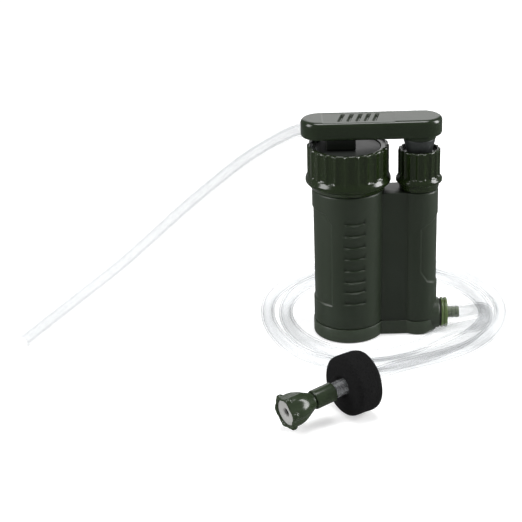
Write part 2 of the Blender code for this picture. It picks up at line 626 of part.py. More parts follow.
def plate_screw(shell, plate, number, x, ceiling, origin):
    """One screw from below, with its post in the shell and its counterbored hole in the plate."""
    seat = PLATE_Z + PLATE_SCREW_HEAD + 2 * GAP
    end = seat + PLATE_SCREW_LENGTH
    post = rod_tool(f"post_{number}_tool", POST_R, (x, 0.0, PLATE_TOP_Z + GAP), (x, 0.0, ceiling + GAP))
    join(shell, post)
    bore_r = SCREW_R + GAP
    seat_r = PLATE_SCREW_HEAD_R + GAP
    cut(shell, rod_tool(f"post_bore_{number}_tool", bore_r, (x, 0.0, PLATE_Z), (x, 0.0, end + GAP), 16))
    cut(plate,
        rod_tool(f"screw_seat_{number}_tool", seat_r, (x, 0.0, HANDLE_Z - GAP), (x, 0.0, seat)),
        rod_tool(f"screw_hole_{number}_tool", bore_r, (x, 0.0, PLATE_Z), (x, 0.0, end), 16))
    head = seat - GAP - PLATE_SCREW_HEAD
    turned(f"plate_screw_{number}", "steel", [
        (PLATE_SCREW_HEAD_R, head), (PLATE_SCREW_HEAD_R, seat - GAP), (SCREW_R, seat - GAP),
        (SCREW_R, end - GAP)], (x, 0.0), count=16, origin=origin)


def barb_profile(length):
    """Half outline of a hose barb with three ridges, from its root to its end."""
    profile = []
    pitch = length / 3
    for ridge in range(3):
        start = ridge * pitch
        profile += [(BARB_R, start + 0.0002), (BARB_RIDGE_R, start + 0.3 * pitch), (BARB_R, start + pitch)]
    return profile


def outlet_spout():
    """The block on the filter head with the outlet barb behind the handle."""
    top = HANDLE_Z - GAP
    x0, x1, y0, y1 = SPOUT_BLOCK
    spout = block("outlet_spout", "green_plastic", (x0, y0, SPOUT_Z), (x1, y1, top))
    ax0, ax1, ay0, ay1 = SPOUT_ARM
    arm_z = NUT_LIP_TOP_Z + 2 * GAP
    tower_y = HANDLE_HALF_WIDTH + 2 * GAP
    profile = [(BARB_R, -0.0030)] + barb_profile(BARB_LENGTH)
    barb = turned("barb_tool", "green_plastic", profile, count=24)
    pointed(barb, (ax0, BARB_Y, BARB_Z), (-1.0, 0.0, 0.0))
    join(spout,
         block("arm_tool", "green_plastic", (ax0, ay0, arm_z), (ax1, ay1, top - GAP)),
         block("tower_tool", "green_plastic", (ax0 - GAP, tower_y, arm_z + GAP),
               (ax1 + GAP, ay1 + GAP, HANDLE_Z + SPOUT_TOWER_TOP)),
         barb)
    duct_z = BARB_Z - BARB_BORE_R
    cut(spout,
        rod_tool("spout_bore_tool", BARB_BORE_R, (0.0, 0.0, HEAD_Z), (0.0, 0.0, duct_z), 16),
        rod_tool("spout_duct_tool", BARB_BORE_R, (0.0, -BARB_BORE_R, duct_z), (0.0, BARB_Y, duct_z), 16),
        rod_tool("barb_bore_tool", BARB_BORE_R, (BARB_BORE_R, BARB_Y, BARB_Z),
                 (BARB_END_X - BARB_LENGTH, BARB_Y, BARB_Z), 16))


def inlet_nozzle():
    """The screwed-in nozzle with its gasket and the inlet valve."""
    seat = NOZZLE_FACE_X - FLANGE_X - 2 * VALVE_THICK
    disc = seat - GAP - VALVE_THICK
    stop = disc - VALVE_LIFT - GAP
    lip_r = VALVE_BORE_R - VALVE_LIP
    groove = FLANGE_THICK * 0.45
    profile = [(VALVE_BORE_R, stop), (lip_r, stop), (lip_r, -SPIGOT_LENGTH)]
    profile += [(SPIGOT_R, -SPIGOT_LENGTH), (SPIGOT_R, 0.0), (FLANGE_R, 0.0)]
    profile += [(FLANGE_R, groove - GAP), (FLANGE_R - 0.0006, groove), (FLANGE_R, groove + GAP)]
    profile += [(FLANGE_R, FLANGE_THICK)]
    profile += [(r, FLANGE_THICK + x) for r, x in barb_profile(NOZZLE_BARB_LENGTH)]
    profile += [(BARB_BORE_R, FLANGE_THICK + NOZZLE_BARB_LENGTH), (BARB_BORE_R, seat), (VALVE_BORE_R, seat)]
    along_x("inlet_nozzle", "gloss_green", profile, FLANGE_X)
    along_x("nozzle_gasket", "seal_rubber", [
        (SPIGOT_R + 2 * GAP, 0.0), (FLANGE_R - 0.0008, 0.0), (FLANGE_R - 0.0008, GASKET),
        (SPIGOT_R + 2 * GAP, GASKET)], BOSS_FACE_X + GAP)
    disc_r = VALVE_BORE_R - GAP
    along_x("inlet_valve", "silicone", [
        (disc_r, 0.0, VALVE_NOTCH), (disc_r, VALVE_THICK, VALVE_NOTCH)],
        FLANGE_X + disc, ring=False, count=VALVE_LOBES * len(FLUTE_SHAPE))


def outlet_valve():
    """The flap disc under the pump barrel's outlet port."""
    top = BODY_Z - GAP
    turned("outlet_valve", "silicone", [
        (2 * PUMP_PORT_R, top - VALVE_THICK), (2 * PUMP_PORT_R, top)], PUMP_AXIS, count=24)


def cartridge():
    """The replaceable cartridge: caps, shell, and the three filter stages inside."""
    low = FLOOR_Z + GAP
    top = HEAD_PLUG_Z - GAP
    ring_top = top
    cap_top = ring_top - ORING_WIDTH - GAP
    inner_low = low + CARTRIDGE_CAP + GAP
    inner_top = cap_top - CARTRIDGE_CAP - GAP
    for name, z in (("cartridge_bottom", low), ("cartridge_top", inner_top + GAP)):
        turned(name, "white_plastic", [
            (CARTRIDGE_PORT_R, z), (CARTRIDGE_R, z), (CARTRIDGE_R, z + CARTRIDGE_CAP),
            (CARTRIDGE_PORT_R, z + CARTRIDGE_CAP)], ring=True)
    stages = (("cartridge_shell", "white_plastic", CARTRIDGE_R - CARTRIDGE_WALL, CARTRIDGE_R),
              ("cotton_sleeve", "fibre", CARBON_R + GAP, CARTRIDGE_R - CARTRIDGE_WALL - GAP),
              ("carbon_sleeve", "carbon", MEMBRANE_R + GAP, CARBON_R))
    for name, finish, r0, r1 in stages:
        turned(name, finish, [(r0, inner_low), (r1, inner_low), (r1, inner_top), (r0, inner_top)], ring=True)
    turned("membrane_bundle", "fibre", [(MEMBRANE_R, inner_low), (MEMBRANE_R, inner_top)])
    square_ring("cartridge_oring", "silicone", 2 * CARTRIDGE_PORT_R, 3.5 * CARTRIDGE_PORT_R,
                ring_top - ORING_WIDTH / 2, ORING_WIDTH, (0.0, 0.0), 32)


def smooth(route):
    """Points along a smooth curve through the route, closer where the route's points are close."""
    points = [Vector(p) for p in route]
    chords = [(b - a).length for a, b in zip(points, points[1:])]
    slopes = [(b - a) / chord for a, b, chord in zip(points, points[1:], chords)]
    tangents = [slopes[0]]
    for i in range(1, len(points) - 1):
        turn = slopes[i - 1] * chords[i] + slopes[i] * chords[i - 1]
        tangents.append(turn / (chords[i - 1] + chords[i]))
    tangents.append(slopes[-1])
    curve = []
    for i, chord in enumerate(chords):
        steps = max(1, round(chord / HOSE_SPACING))
        for step in range(steps):
            t = step / steps
            blend = 3 * t * t - 2 * t ** 3
            curve.append(points[i] * (1 - blend) + points[i + 1] * blend
                         + tangents[i] * chord * (t - 2 * t * t + t ** 3)
                         + tangents[i + 1] * chord * (t ** 3 - t * t))
    return curve + [points[-1]]


def hose(name, route):
    """A plain round tube along the smoothed route."""
    points = smooth(route)
    curve = bpy.data.curves.new(name, "CURVE")
    curve.dimensions = "3D"
    curve.bevel_depth = HOSE_R
    curve.bevel_resolution = 2
    curve.use_fill_caps = True
    spline = curve.splines.new("POLY")
    spline.points.add(len(points) - 1)
    for point, place in zip(spline.points, points):
        point.co = (*place, 1.0)
    curve.materials.append(material("clear_hose"))
    bpy.context.scene.collection.objects.link(bpy.data.objects.new(name, curve))


def float_place(distance):
    """A point on the float's axis, at a distance from its middle towards the strainer."""
    x, y = FLOAT_OFFSET
    return Vector((NOZZLE_END_X + x, y, FLOAT_R)) + FLOAT_AXIS * distance


def strainer_place():
    """The hose's end in front of the float, and the strainer's direction from there."""
    heading = FLOAT_AXIS * math.cos(STRAINER_TILT) - Vector((0.0, 0.0, math.sin(STRAINER_TILT)))
    length = SLEEVE_LENGTH + BELL_LENGTH
    start = float_place(FLOAT_LENGTH / 2 + STRAINER_STAND_OFF)
    start.z = STRAINER_LIFT + BELL_R * math.cos(STRAINER_TILT) + length * math.sin(STRAINER_TILT)
    return start, heading


def float_and_strainer():
    """The foam float, and the strainer on the hose's end."""
    low = FLOAT_ROUND * (1 - math.cos(math.radians(45)))
    half = FLOAT_LENGTH / 2
    edge = [(FLOAT_R - FLOAT_ROUND, half), (FLOAT_R - low, half - low), (FLOAT_R, half - FLOAT_ROUND)]
    outer = edge + [(r, -z) for r, z in reversed(edge)]
    profile = [(FLOAT_HOLE_R, half)] + outer + [(FLOAT_HOLE_R, -half)]
    pointed(turned("float", "foam", profile[::-1], ring=True), float_place(0.0), FLOAT_AXIS)
    start, heading = strainer_place()
    sleeve = [(BARB_R, GAP), (SLEEVE_R - 0.0008, GAP), (SLEEVE_R, 0.0010), (SLEEVE_R, SLEEVE_LENGTH - GAP),
              (BARB_R, SLEEVE_LENGTH - GAP)]
    pointed(turned("strainer_sleeve", "gloss_green", sleeve, ring=True, count=32), start, heading)
    bell(start + heading * SLEEVE_LENGTH, heading)


def bell(place, heading):
    """The strainer's flared body and the filter disc set in its mouth."""
    spread = BELL_R - BELL_NECK_R
    steps = (0.0, 0.12, 0.3, 0.5, 0.75, 1.0)
    curve = [(BELL_NECK_R + spread * math.sin(t * math.pi / 2), t * BELL_LENGTH) for t in steps]
    depth = DISC_INSET + DISC_THICK + GAP
    mouth = BELL_R - BELL_WALL
    seat = BELL_LENGTH - depth
    inner = [(mouth, BELL_LENGTH), (mouth, seat), (BARB_R, seat), (BARB_R, 0.0)]
    pointed(turned("strainer_bell", "gloss_green", curve + inner, ring=True, count=36), place, heading)
    disc_z = BELL_LENGTH - DISC_INSET - DISC_THICK
    disc = [(DISC_HOLE_R, disc_z), (mouth - GAP, disc_z), (mouth - GAP, disc_z + DISC_THICK),
            (DISC_HOLE_R, disc_z + DISC_THICK)]
    pointed(turned("strainer_disc", "white_plastic", disc, ring=True, count=32), place, heading)


def hoses():
    """Both hoses, each starting straight out of its barb."""
    end, heading = strainer_place()
    barb_x = NOZZLE_END_X + GAP
    intake = [(barb_x, 0.0, NOZZLE_Z), (barb_x + HOSE_LEAD, 0.0, NOZZLE_Z)]
    intake += [(NOZZLE_END_X + x, y, z) for x, y, z in INTAKE_ROUTE]
    intake += [(NOZZLE_END_X + x, y, FLOAT_R * share) for x, y, share in RISE_ROUTE]
    intake += [float_place(-FLOAT_LENGTH / 2), float_place(FLOAT_LENGTH / 2), end - heading * HOSE_LEAD, end]
    hose("intake_hose", intake)
    spout_x = BARB_END_X - GAP
    outlet = [(spout_x, BARB_Y, BARB_Z), (spout_x - HOSE_LEAD, BARB_Y, BARB_Z)]
    outlet += [(BARB_END_X + x, BARB_Y + y, BARB_Z * share) for x, y, share in OUTLET_ROUTE]
    hose("outlet_hose", outlet)


def main():
    clear_scene()
    body_shell()
    base_cover()
    filter_head()
    ring_nut()
    gland_nut()
    gland_bush()
    plunger()
    handle()
    outlet_spout()
    inlet_nozzle()
    outlet_valve()
    cartridge()
    float_and_strainer()
    hoses()


main()
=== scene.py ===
"""Looks of the pump water filter: detailed pieces, materials, floor, lights and camera.

Lengths are in millimetres, in the part's own frame. The materials, the floor and the lights are in
metres, as Blender has them.
"""

import math

import bmesh
import bpy
import numpy as np
from mathutils import Matrix, Vector


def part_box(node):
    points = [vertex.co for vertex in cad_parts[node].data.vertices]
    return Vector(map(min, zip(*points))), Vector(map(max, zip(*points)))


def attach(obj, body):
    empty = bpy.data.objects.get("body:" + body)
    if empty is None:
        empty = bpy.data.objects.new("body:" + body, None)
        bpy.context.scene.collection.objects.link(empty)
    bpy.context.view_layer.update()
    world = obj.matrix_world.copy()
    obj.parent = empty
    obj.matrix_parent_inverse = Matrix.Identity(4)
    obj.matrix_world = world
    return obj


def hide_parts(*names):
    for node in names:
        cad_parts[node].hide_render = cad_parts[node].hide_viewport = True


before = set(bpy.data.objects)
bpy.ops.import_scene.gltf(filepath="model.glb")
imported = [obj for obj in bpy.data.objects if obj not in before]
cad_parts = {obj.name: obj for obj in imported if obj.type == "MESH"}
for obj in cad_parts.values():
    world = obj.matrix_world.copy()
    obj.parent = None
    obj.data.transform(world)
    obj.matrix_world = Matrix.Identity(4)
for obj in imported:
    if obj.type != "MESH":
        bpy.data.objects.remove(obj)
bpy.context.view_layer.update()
MM = 0.001
TURN = 2 * math.pi

# Places that the pieces share: corners read from the frame, then sizes that the hoses fit.
NUT_LOW, NUT_HIGH = (corner / MM for corner in map(Vector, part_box("filter_ring_nut")))
GLAND_LOW, GLAND_HIGH = (corner / MM for corner in map(Vector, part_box("gland_nut")))
BODY_LOW, BODY_HIGH = (corner / MM for corner in map(Vector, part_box("body_shell")))
HANDLE_LOW, HANDLE_HIGH = (corner / MM for corner in map(Vector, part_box("handle_shell")))
PUMP_X = (GLAND_LOW.x + GLAND_HIGH.x) / 2
PUMP = (PUMP_X, 0.0)
NOZZLE_Z = 11.5
HOSE_R = 5.2
HOSE_BORE_R = 3.7
BARB_R = 3.8
BARB_RIDGE_R = 4.3
BARB_BORE_R = 1.8
BARB_RIDGES = 3


# ---------------------------------------------------------------- surfaces

def knit(rows, cols, joined):
    """Corner numbers of the quads of a grid whose columns close; joined also closes its rows."""
    i = np.arange(rows if joined else rows - 1)[:, None]
    j = np.arange(cols)[None, :]
    up = (i + 1) % rows
    side = (j + 1) % cols
    return np.stack((i * cols + j, i * cols + side, up * cols + side, up * cols + j), -1).reshape(-1, 4)


def swept(points, triangles):
    """Six times the volume between the triangles and the origin, positive where they face outward."""
    corners = points[triangles]
    normals = np.cross(corners[:, 1] - corners[:, 0], corners[:, 2] - corners[:, 0])
    return np.einsum("ij,ij->i", normals, corners[:, 0]).sum()


def closed(grid, joined=False, drawn_in=False):
    """(points, faces) of a closed skin over a grid of rings, fanned to a middle point at each open end.

    joined closes the rings' row on itself instead. drawn_in leaves out the last fan, where the last
    ring is already drawn in to a line. The faces are turned outward.
    """
    rows, cols = grid.shape[:2]
    points = grid.reshape(-1, 3)
    quads = knit(rows, cols, joined)
    size = swept(points, quads[:, :3]) + swept(points, quads[:, [0, 2, 3]])
    faces = quads.tolist()
    if not joined:
        points = np.vstack((points, grid[0].mean(0), grid[-1].mean(0)))
        j = np.arange(cols)
        side = (j + 1) % cols
        last = (rows - 1) * cols
        low = np.stack((side, j, np.full(cols, rows * cols)), -1)
        high = np.stack((j + last, side + last, np.full(cols, rows * cols + 1)), -1)
        fans = low if drawn_in else np.vstack((low, high))
        size += swept(points, fans)
        faces += fans.tolist()
    if size < 0:
        faces = [face[::-1] for face in faces]
    return points, faces


def piece(name, skins, finish, body="housing", stands_for=(), sharp=38.0):
    """One object from closed skins in millimetres, shaded smooth except at edges over the sharp angle."""
    points, faces, start = [], [], 0
    for skin_points, skin_faces in skins:
        points.append(skin_points)
        faces += [[corner + start for corner in face] for face in skin_faces]
        start += len(skin_points)
    mesh = bpy.data.meshes.new(name)
    mesh.from_pydata((np.vstack(points) * MM).tolist(), [], faces)
    mesh.shade_smooth()
    mesh.set_sharp_from_angle(angle=math.radians(sharp))
    obj = bpy.data.objects.new(name, mesh)
    bpy.context.scene.collection.objects.link(obj)
    mesh.materials.append(MATERIALS[finish])
    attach(obj, body)
    if stands_for:
        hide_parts(*stands_for)
    return obj


def merged(obj):
    """Join the points that lie on each other, such as those of a ring drawn in to a line."""
    mesh = obj.data
    work = bmesh.new()
    work.from_mesh(mesh)
    bmesh.ops.remove_doubles(work, verts=work.verts, dist=2e-6)
    bmesh.ops.dissolve_degenerate(work, edges=work.edges, dist=1e-6)
    work.to_mesh(mesh)
    work.free()


def eased(profile, radius=0.4, steps=4, loop=False):
    """The profile with each corner eased by a parabola: P0(1-t)^2 + 2P1 t(1-t) + P2 t^2."""
    p = np.asarray(profile, float)
    before, after = np.roll(p, 1, 0), np.roll(p, -1, 0)
    back, ahead = before - p, after - p
    back_length = np.linalg.norm(back, axis=1, keepdims=True)
    ahead_length = np.linalg.norm(ahead, axis=1, keepdims=True)
    reach = np.minimum(radius, 0.45 * np.minimum(back_length, ahead_length))
    start = (p + back / back_length * reach)[:, None]
    end = (p + ahead / ahead_length * reach)[:, None]
    t = np.linspace(0, 1, steps)[None, :, None]
    curve = start * (1 - t) ** 2 + 2 * p[:, None] * t * (1 - t) + end * t ** 2
    if loop:
        return curve.reshape(-1, 2)
    return np.vstack((p[:1], curve[1:-1].reshape(-1, 2), p[-1:]))


def spun(profile, count=96, centre=(0.0, 0.0), shape=None, joined=False):
    """Rings of radius r(z) about an upright axis: (cx + r cos a, cy + r sin a, z).

    shape(r, a, z), where given, returns the radius at each angle instead.
    """
    profile = np.asarray(profile, float)
    a = np.arange(count)[None, :] * TURN / count
    r = profile[:, :1] + 0 * a
    z = profile[:, 1:2] + 0 * a
    if shape:
        r = shape(r, a, z)
    return closed(np.stack((centre[0] + r * np.cos(a), centre[1] + r * np.sin(a), z), -1), joined)


def carried(skin, place, direction):
    """The skin, made about the upright axis, turned to run along direction from place."""
    points, faces = skin
    turn = np.array(Vector(direction).to_track_quat("Z", "Y").to_matrix())
    return points @ turn.T + np.asarray(place, float), faces


def wave(x):
    """A smooth step from 0 to 1: 3x^2 - 2x^3 on the clipped x."""
    x = np.clip(x, 0, 1)
    return x * x * (3 - 2 * x)


def band(x, low, high, soft):
    """1 between low and high, falling smoothly to 0 over soft at either side."""
    return wave((x - low) / soft + 0.5) * wave((high - x) / soft + 0.5)


def wrapped(angle):
    """The angle brought to -pi..pi."""
    return (angle + math.pi) % TURN - math.pi


def levels(low, high, step):
    """Heights from low to high, at most step apart."""
    return np.linspace(low, high, math.ceil((high - low) / step) + 1)


# ---------------------------------------------------------------- materials

class Value:
    """A number socket in a material, with arithmetic that adds the Math nodes it needs."""

    def __init__(self, sheet, socket):
        self.sheet = sheet
        self.socket = socket

    def math(self, operation, *others):
        inputs = [other.socket if isinstance(other, Value) else other for other in others]
        return Value(self.sheet, self.sheet.node("ShaderNodeMath", {"operation": operation},
                                                 dict(enumerate([self.socket, *inputs]))).outputs[0])

    def __add__(self, other):
        return self.math("ADD", other)

    __radd__ = __add__

    def __mul__(self, other):
        return self.math("MULTIPLY", other)

    __rmul__ = __mul__

    def __sub__(self, other):
        return self.math("SUBTRACT", other)

    def __rsub__(self, other):
        return (self * -1.0) + other

    def above(self, edge, soft):
        """0 below the edge and 1 above it, easing over soft."""
        spread = self.sheet.node("ShaderNodeMapRange", {"interpolation_type": "SMOOTHSTEP"}, {
            "Value": self.socket, "From Min": edge - soft, "From Max": edge + soft})
        return Value(self.sheet, spread.outputs[0])

    def clipped(self):
        return self.math("MAXIMUM", 0.0).math("MINIMUM", 1.0)


class Sheet:
    """The node tree of one material."""

    def __init__(self, name):
        self.material = bpy.data.materials.new(name)
        self.material.use_nodes = True
        self.tree = self.material.node_tree
        self.shader = self.tree.nodes["Principled BSDF"]
        self.output = self.tree.nodes["Material Output"]

    def node(self, kind, settings=None, inputs=None):
        """A node of that kind: its settings first, then the values or links of its sockets."""
        made = self.tree.nodes.new(kind)
        for key, value in (settings or {}).items():
            setattr(made, key, value)
        for key, value in (inputs or {}).items():
            self.feed(made.inputs[key], value)
        return made

    def feed(self, socket, value):
        """Link the value to the socket, or set the socket to it where it is a number or a colour."""
        if isinstance(value, Value):
            value = value.socket
        if isinstance(value, bpy.types.NodeSocket):
            self.tree.links.new(value, socket)
        elif isinstance(value, tuple) and len(value) == 3 and socket.type == "RGBA":
            socket.default_value = (*value, 1.0)
        else:
            socket.default_value = value

    def place(self):
        """The point on the piece, in metres."""
        return self.node("ShaderNodeTexCoord").outputs["Object"]

    def noise(self, scale, detail=3.0, rough=0.5, stretch=(1.0, 1.0, 1.0)):
        """Cloudy noise of that many cells a metre."""
        spread = self.node("ShaderNodeMapping", inputs={"Vector": self.place(), "Scale": stretch})
        made = self.node("ShaderNodeTexNoise", {"noise_dimensions": "3D"}, {
            "Vector": spread.outputs[0], "Scale": scale, "Detail": detail, "Roughness": rough})
        return Value(self, made.outputs["Fac"])

    def cells(self, scale):
        """Distance to the nearest of that many cell middles a metre."""
        made = self.node("ShaderNodeTexVoronoi", {"feature": "F1"}, {"Vector": self.place(), "Scale": scale})
        return Value(self, made.outputs["Distance"])

    def mixed(self, share, first, second):
        """A colour between two others."""
        made = self.node("ShaderNodeMix", {"data_type": "RGBA"}, {0: share, 6: first, 7: second})
        return made.outputs[2]

    def bumped(self, height, strength, distance):
        """A normal from a height."""
        return self.node("ShaderNodeBump", inputs={
            "Strength": strength, "Distance": distance, "Height": height}).outputs[0]

    def set(self, **values):
        """Values of the main shader's sockets, with spaces as underscores."""
        for key, value in values.items():
            self.feed(self.shader.inputs[key.replace("_", " ")], value)
        return self.material


def moulded(name, light, dark, rough, grain, shine):
    """Moulded plastic: slow colour drift, fine grain, faint rub marks in the roughness."""
    sheet = Sheet(name)
    drift = sheet.noise(22.0, 2.0)
    grit = sheet.noise(1500.0, 2.0, 0.6)
    rubs = sheet.noise(140.0, 4.0, 0.65, (1.0, 1.0, 0.25))
    waves = sheet.noise(60.0, 1.0)
    return sheet.set(
        Base_Color=sheet.mixed(drift.above(0.5, 0.3), dark, light),
        Roughness=(rough - 0.05) + 0.10 * rubs,
        Normal=sheet.bumped(grit * grain + waves * 0.25, 0.35, 0.00010),
        Specular_IOR_Level=shine)


def foam_material(name):
    """Closed-cell foam: soft black with small cells that open at the skin; the open cells' pits get painted
    shade, a darker colour, and the lumps add a random mottle.
    """
    sheet = Sheet(name)
    cells = sheet.cells(900.0)
    small = sheet.cells(2300.0)
    lumps = sheet.noise(160.0, 4.0, 0.6)
    shaded_pits = 1 - cells.above(0.32, 0.16)
    # Colour share: painted shade in the open cells' pits, plus a random mottle from the lumps.
    depth = shaded_pits * 0.8 + lumps * 0.2
    return sheet.set(
        Base_Color=sheet.mixed(depth, (0.0075, 0.0075, 0.0078), (0.003, 0.003, 0.003)),
        Roughness=0.88 + 0.1 * lumps,
        Normal=sheet.bumped(cells * 0.7 + small * 0.35 + lumps * 1.2, 0.8, 0.0006),
        Specular_IOR_Level=0.1)


def hose_material(name, body, pale, deep):
    """Clear soft tube: nearly invisible face on, with grey lines where its walls are seen edge on.

    body is the share of the grey surface that shows face on; pale and deep are its two greys.
    """
    sheet = Sheet(name)
    facing = Value(sheet, sheet.node("ShaderNodeLayerWeight", inputs={"Blend": 0.5}).outputs["Facing"])
    streaks = sheet.noise(90.0, 3.0, 0.6)
    rim = facing.above(0.72, 0.22)
    bore = facing.above(0.20, 0.07) * (1 - facing.above(0.40, 0.14))
    weight = body + 0.36 * rim + 0.09 * bore + 0.03 * streaks
    sheet.set(Base_Color=sheet.mixed(streaks, deep, pale),
              Roughness=0.18 + 0.06 * streaks, Specular_IOR_Level=0.3)
    clear = sheet.node("ShaderNodeBsdfTransparent", inputs={"Color": (0.985, 0.988, 0.99)})
    mix = sheet.node("ShaderNodeMixShader", inputs={
        0: weight.clipped(), 1: clear.outputs[0], 2: sheet.shader.outputs[0]})
    sheet.feed(sheet.output.inputs["Surface"], mix.outputs[0])
    return sheet.material


def brushed_steel(name):
    """Steel with fine scratches in its shade, roughness and surface."""
    sheet = Sheet(name)
    scratches = sheet.noise(3000.0, 3.0, 0.6, (1.0, 0.05, 0.3))
    return sheet.set(Base_Color=sheet.mixed(scratches, (0.50, 0.50, 0.49), (0.62, 0.62, 0.61)),
                     Metallic=1.0, Roughness=0.22 + 0.15 * scratches,
                     Normal=sheet.bumped(scratches, 0.2, 0.00005))


def fibre_material(name, pale, deep, scale, stretch):
    """Packed fibres or granules of two shades."""
    sheet = Sheet(name)
    strands = sheet.noise(scale, 4.0, 0.7, stretch)
    return sheet.set(Base_Color=sheet.mixed(strands, deep, pale), Roughness=0.9 + 0.05 * strands,
                     Normal=sheet.bumped(strands, 0.7, 0.0004))


def rubber_material(name, shade):
    """Dull rubber with a faint cloudy bloom, from the shade to one two fifths lighter."""
    sheet = Sheet(name)
    bloom = sheet.noise(300.0, 3.0, 0.6)
    soft = tuple(channel * 1.4 for channel in shade)
    return sheet.set(Base_Color=sheet.mixed(bloom, shade, soft), Roughness=0.55 + 0.15 * bloom,
                     Normal=sheet.bumped(bloom, 0.2, 0.0001))


MATERIALS = {
    "satin_green": moulded("satin_green", (0.016, 0.024, 0.013), (0.014, 0.022, 0.011), 0.42, 0.5, 0.45),
    # The skirt's green is the satin green painted lighter: painted bounce light from the floor on the lower
    # part.
    "skirt_green_bounce_lit": moulded("skirt_green_bounce_lit", (0.026, 0.036, 0.022), (0.023, 0.033, 0.018), 0.36, 0.4, 0.5),
    "gloss_green": moulded("gloss_green", (0.009, 0.016, 0.004), (0.007, 0.013, 0.003), 0.17, 0.05, 0.5),
    "handle_green": moulded("handle_green", (0.009, 0.016, 0.006), (0.007, 0.013, 0.004), 0.22, 0.08, 0.5),
    "strainer_green": moulded("strainer_green", (0.022, 0.034, 0.016), (0.018, 0.028, 0.013), 0.22, 0.1, 0.4),
    "barb_green": moulded("barb_green", (0.085, 0.125, 0.045), (0.070, 0.105, 0.036), 0.25, 0.1, 0.4),
    "grey_plastic": moulded("grey_plastic", (0.026, 0.029, 0.028), (0.022, 0.025, 0.024), 0.34, 0.3, 0.35),
    "dark_plastic": moulded("dark_plastic", (0.006, 0.008, 0.005), (0.004, 0.006, 0.004), 0.40, 0.4, 0.3),
    "head_plastic": moulded("head_plastic", (0.020, 0.022, 0.020), (0.017, 0.019, 0.017), 0.38, 0.3, 0.3),
    "white_plastic": moulded("white_plastic", (0.40, 0.41, 0.40), (0.36, 0.37, 0.36), 0.42, 0.4, 0.4),
    "disc_plastic": moulded("disc_plastic", (0.36, 0.36, 0.35), (0.22, 0.22, 0.21), 0.5, 1.2, 0.4),
    "foam": foam_material("foam"),
    "clear_hose": hose_material("clear_hose", 0.07, (0.58, 0.59, 0.60), (0.50, 0.51, 0.52)),
    # The second hose material is the clear hose set greyer and less clear, only so that the outlet hose comes
    # out darker than the intake hose.
    "greyer_hose": hose_material("greyer_hose", 0.16, (0.50, 0.51, 0.52), (0.42, 0.43, 0.44)),
    "steel": brushed_steel("steel"),
    "seal_rubber": rubber_material("seal_rubber", (0.014, 0.014, 0.014)),
    "silicone": rubber_material("silicone", (0.52, 0.51, 0.48)),
    "fibre": fibre_material("fibre", (0.80, 0.78, 0.70), (0.55, 0.52, 0.45), 900.0, (1.0, 1.0, 0.1)),
    "carbon": fibre_material("carbon", (0.030, 0.030, 0.031), (0.006, 0.006, 0.006), 1200.0, (1.0, 1.0, 1.0)),
}
# Pieces whose CAD shape is kept, with the material that each one gets.
KEPT = {
    "head_oring": "silicone", "cartridge_bottom": "white_plastic", "cartridge_top": "white_plastic",
    "cartridge_shell": "white_plastic", "cartridge_oring": "silicone", "cotton_sleeve": "fibre",
    "carbon_sleeve": "carbon", "membrane_bundle": "fibre", "gland_bush": "white_plastic",
    "gland_oring": "seal_rubber", "piston_head": "white_plastic", "piston_seal": "seal_rubber",
    "pivot_screw": "steel", "plate_screw_1": "steel", "plate_screw_2": "steel",
    "nozzle_gasket": "seal_rubber", "inlet_valve": "silicone", "outlet_valve": "silicone",
    "handle_plate": "handle_green",
}


# ---------------------------------------------------------------- hoses

INTAKE_ROUTE = [
    (91.4, -1.8, 13.6), (97.8, -7.8, 16.4), (100.4, -16.4, 16.9), (97.6, -25.0, 16.7),
    (91.6, -31.0, 16.6), (82.8, -34.2, 16.4), (72.0, -36.6, 15.2), (60.0, -40.2, 11.8),
    (46.0, -46.0, 7.6), (24.0, -52.6, 5.4), (-6.0, -52.0, 5.4), (-30.0, -33.0, 5.4),
    (-44.0, -3.0, 5.4), (-45.8, 29.0, 5.4), (-34.5, 60.0, 5.4), (-7.0, 84.0, 5.4),
    (27.0, 91.5, 5.4), (60.0, 84.5, 5.4), (88.0, 61.0, 5.4), (101.0, 32.0, 5.4),
    (101.5, 3.0, 5.4), (92.0, -19.5, 5.4), (73.0, -41.5, 5.4), (49.0, -58.0, 5.4),
    (22.0, -69.0, 5.4), (-7.0, -68.5, 5.4), (-34.0, -53.0, 5.4), (-52.0, -22.0, 5.4),
    (-60.0, 15.0, 5.4), (-56.5, 48.0, 5.4), (-38.5, 79.5, 5.4), (-8.0, 101.5, 5.4),
    (28.0, 108.0, 5.4), (66.0, 101.0, 5.4), (97.5, 77.5, 5.4), (112.5, 44.0, 5.4),
    (114.5, 13.0, 5.4), (105.5, -17.5, 5.4), (87.0, -43.0, 5.4), (64.5, -64.5, 8.6),
    (45.0, -82.5, 13.6), (28.5, -98.5, 18.2), (15.5, -111.0, 20.6),
]
OUTLET_ROUTE = [
    (-34.0, 18.6, 150.1), (-50.0, 16.6, 144.0), (-70.2, 13.5, 133.1),
    (-95.3, 9.0, 115.5), (-119.6, 3.5, 97.0), (-142.2, -0.5, 77.8),
    (-162.7, -4.0, 60.8), (-191.5, -10.0, 39.8), (-218.0, -14.2, 20.5),
    (-239.0, -17.3, 5.0),
]
BARB_TIP_X = 81.6
FLANGE_X = 67.6
SPOUT_TIP_X = -24.3
SPOUT_Y = 19.0
SPOUT_Z = 150.4
HOSE_LEAD = 1.5
HOSE_INTO_SLEEVE = 5.0
BORE_OVER_BARB = 4.35
WALL_SWELL = 0.15
SWELL_FADE = 4.0
FLOAT_CENTRE = (-2.8, -124.2, 20.9)
FLOAT_R = 20.9
FLOAT_HALF = 10.0
FLOAT_HOLE_R = 5.5
FLOAT_HEADING = math.radians(213.0)
STRAINER_TILT = math.radians(6.0)
STRAINER_STAND_OFF = 7.5
STRAINER_LIFT = 4.3
SLEEVE_LENGTH = 16.0
BELL_LENGTH = 23.0
BELL_R = 11.9
BELL_LOBES = 6
BELL_TURN = math.radians(10.0)
BELL_FLUTE = 1.0
KNOB_R = 2.3
KNOB_HEIGHT = 1.4

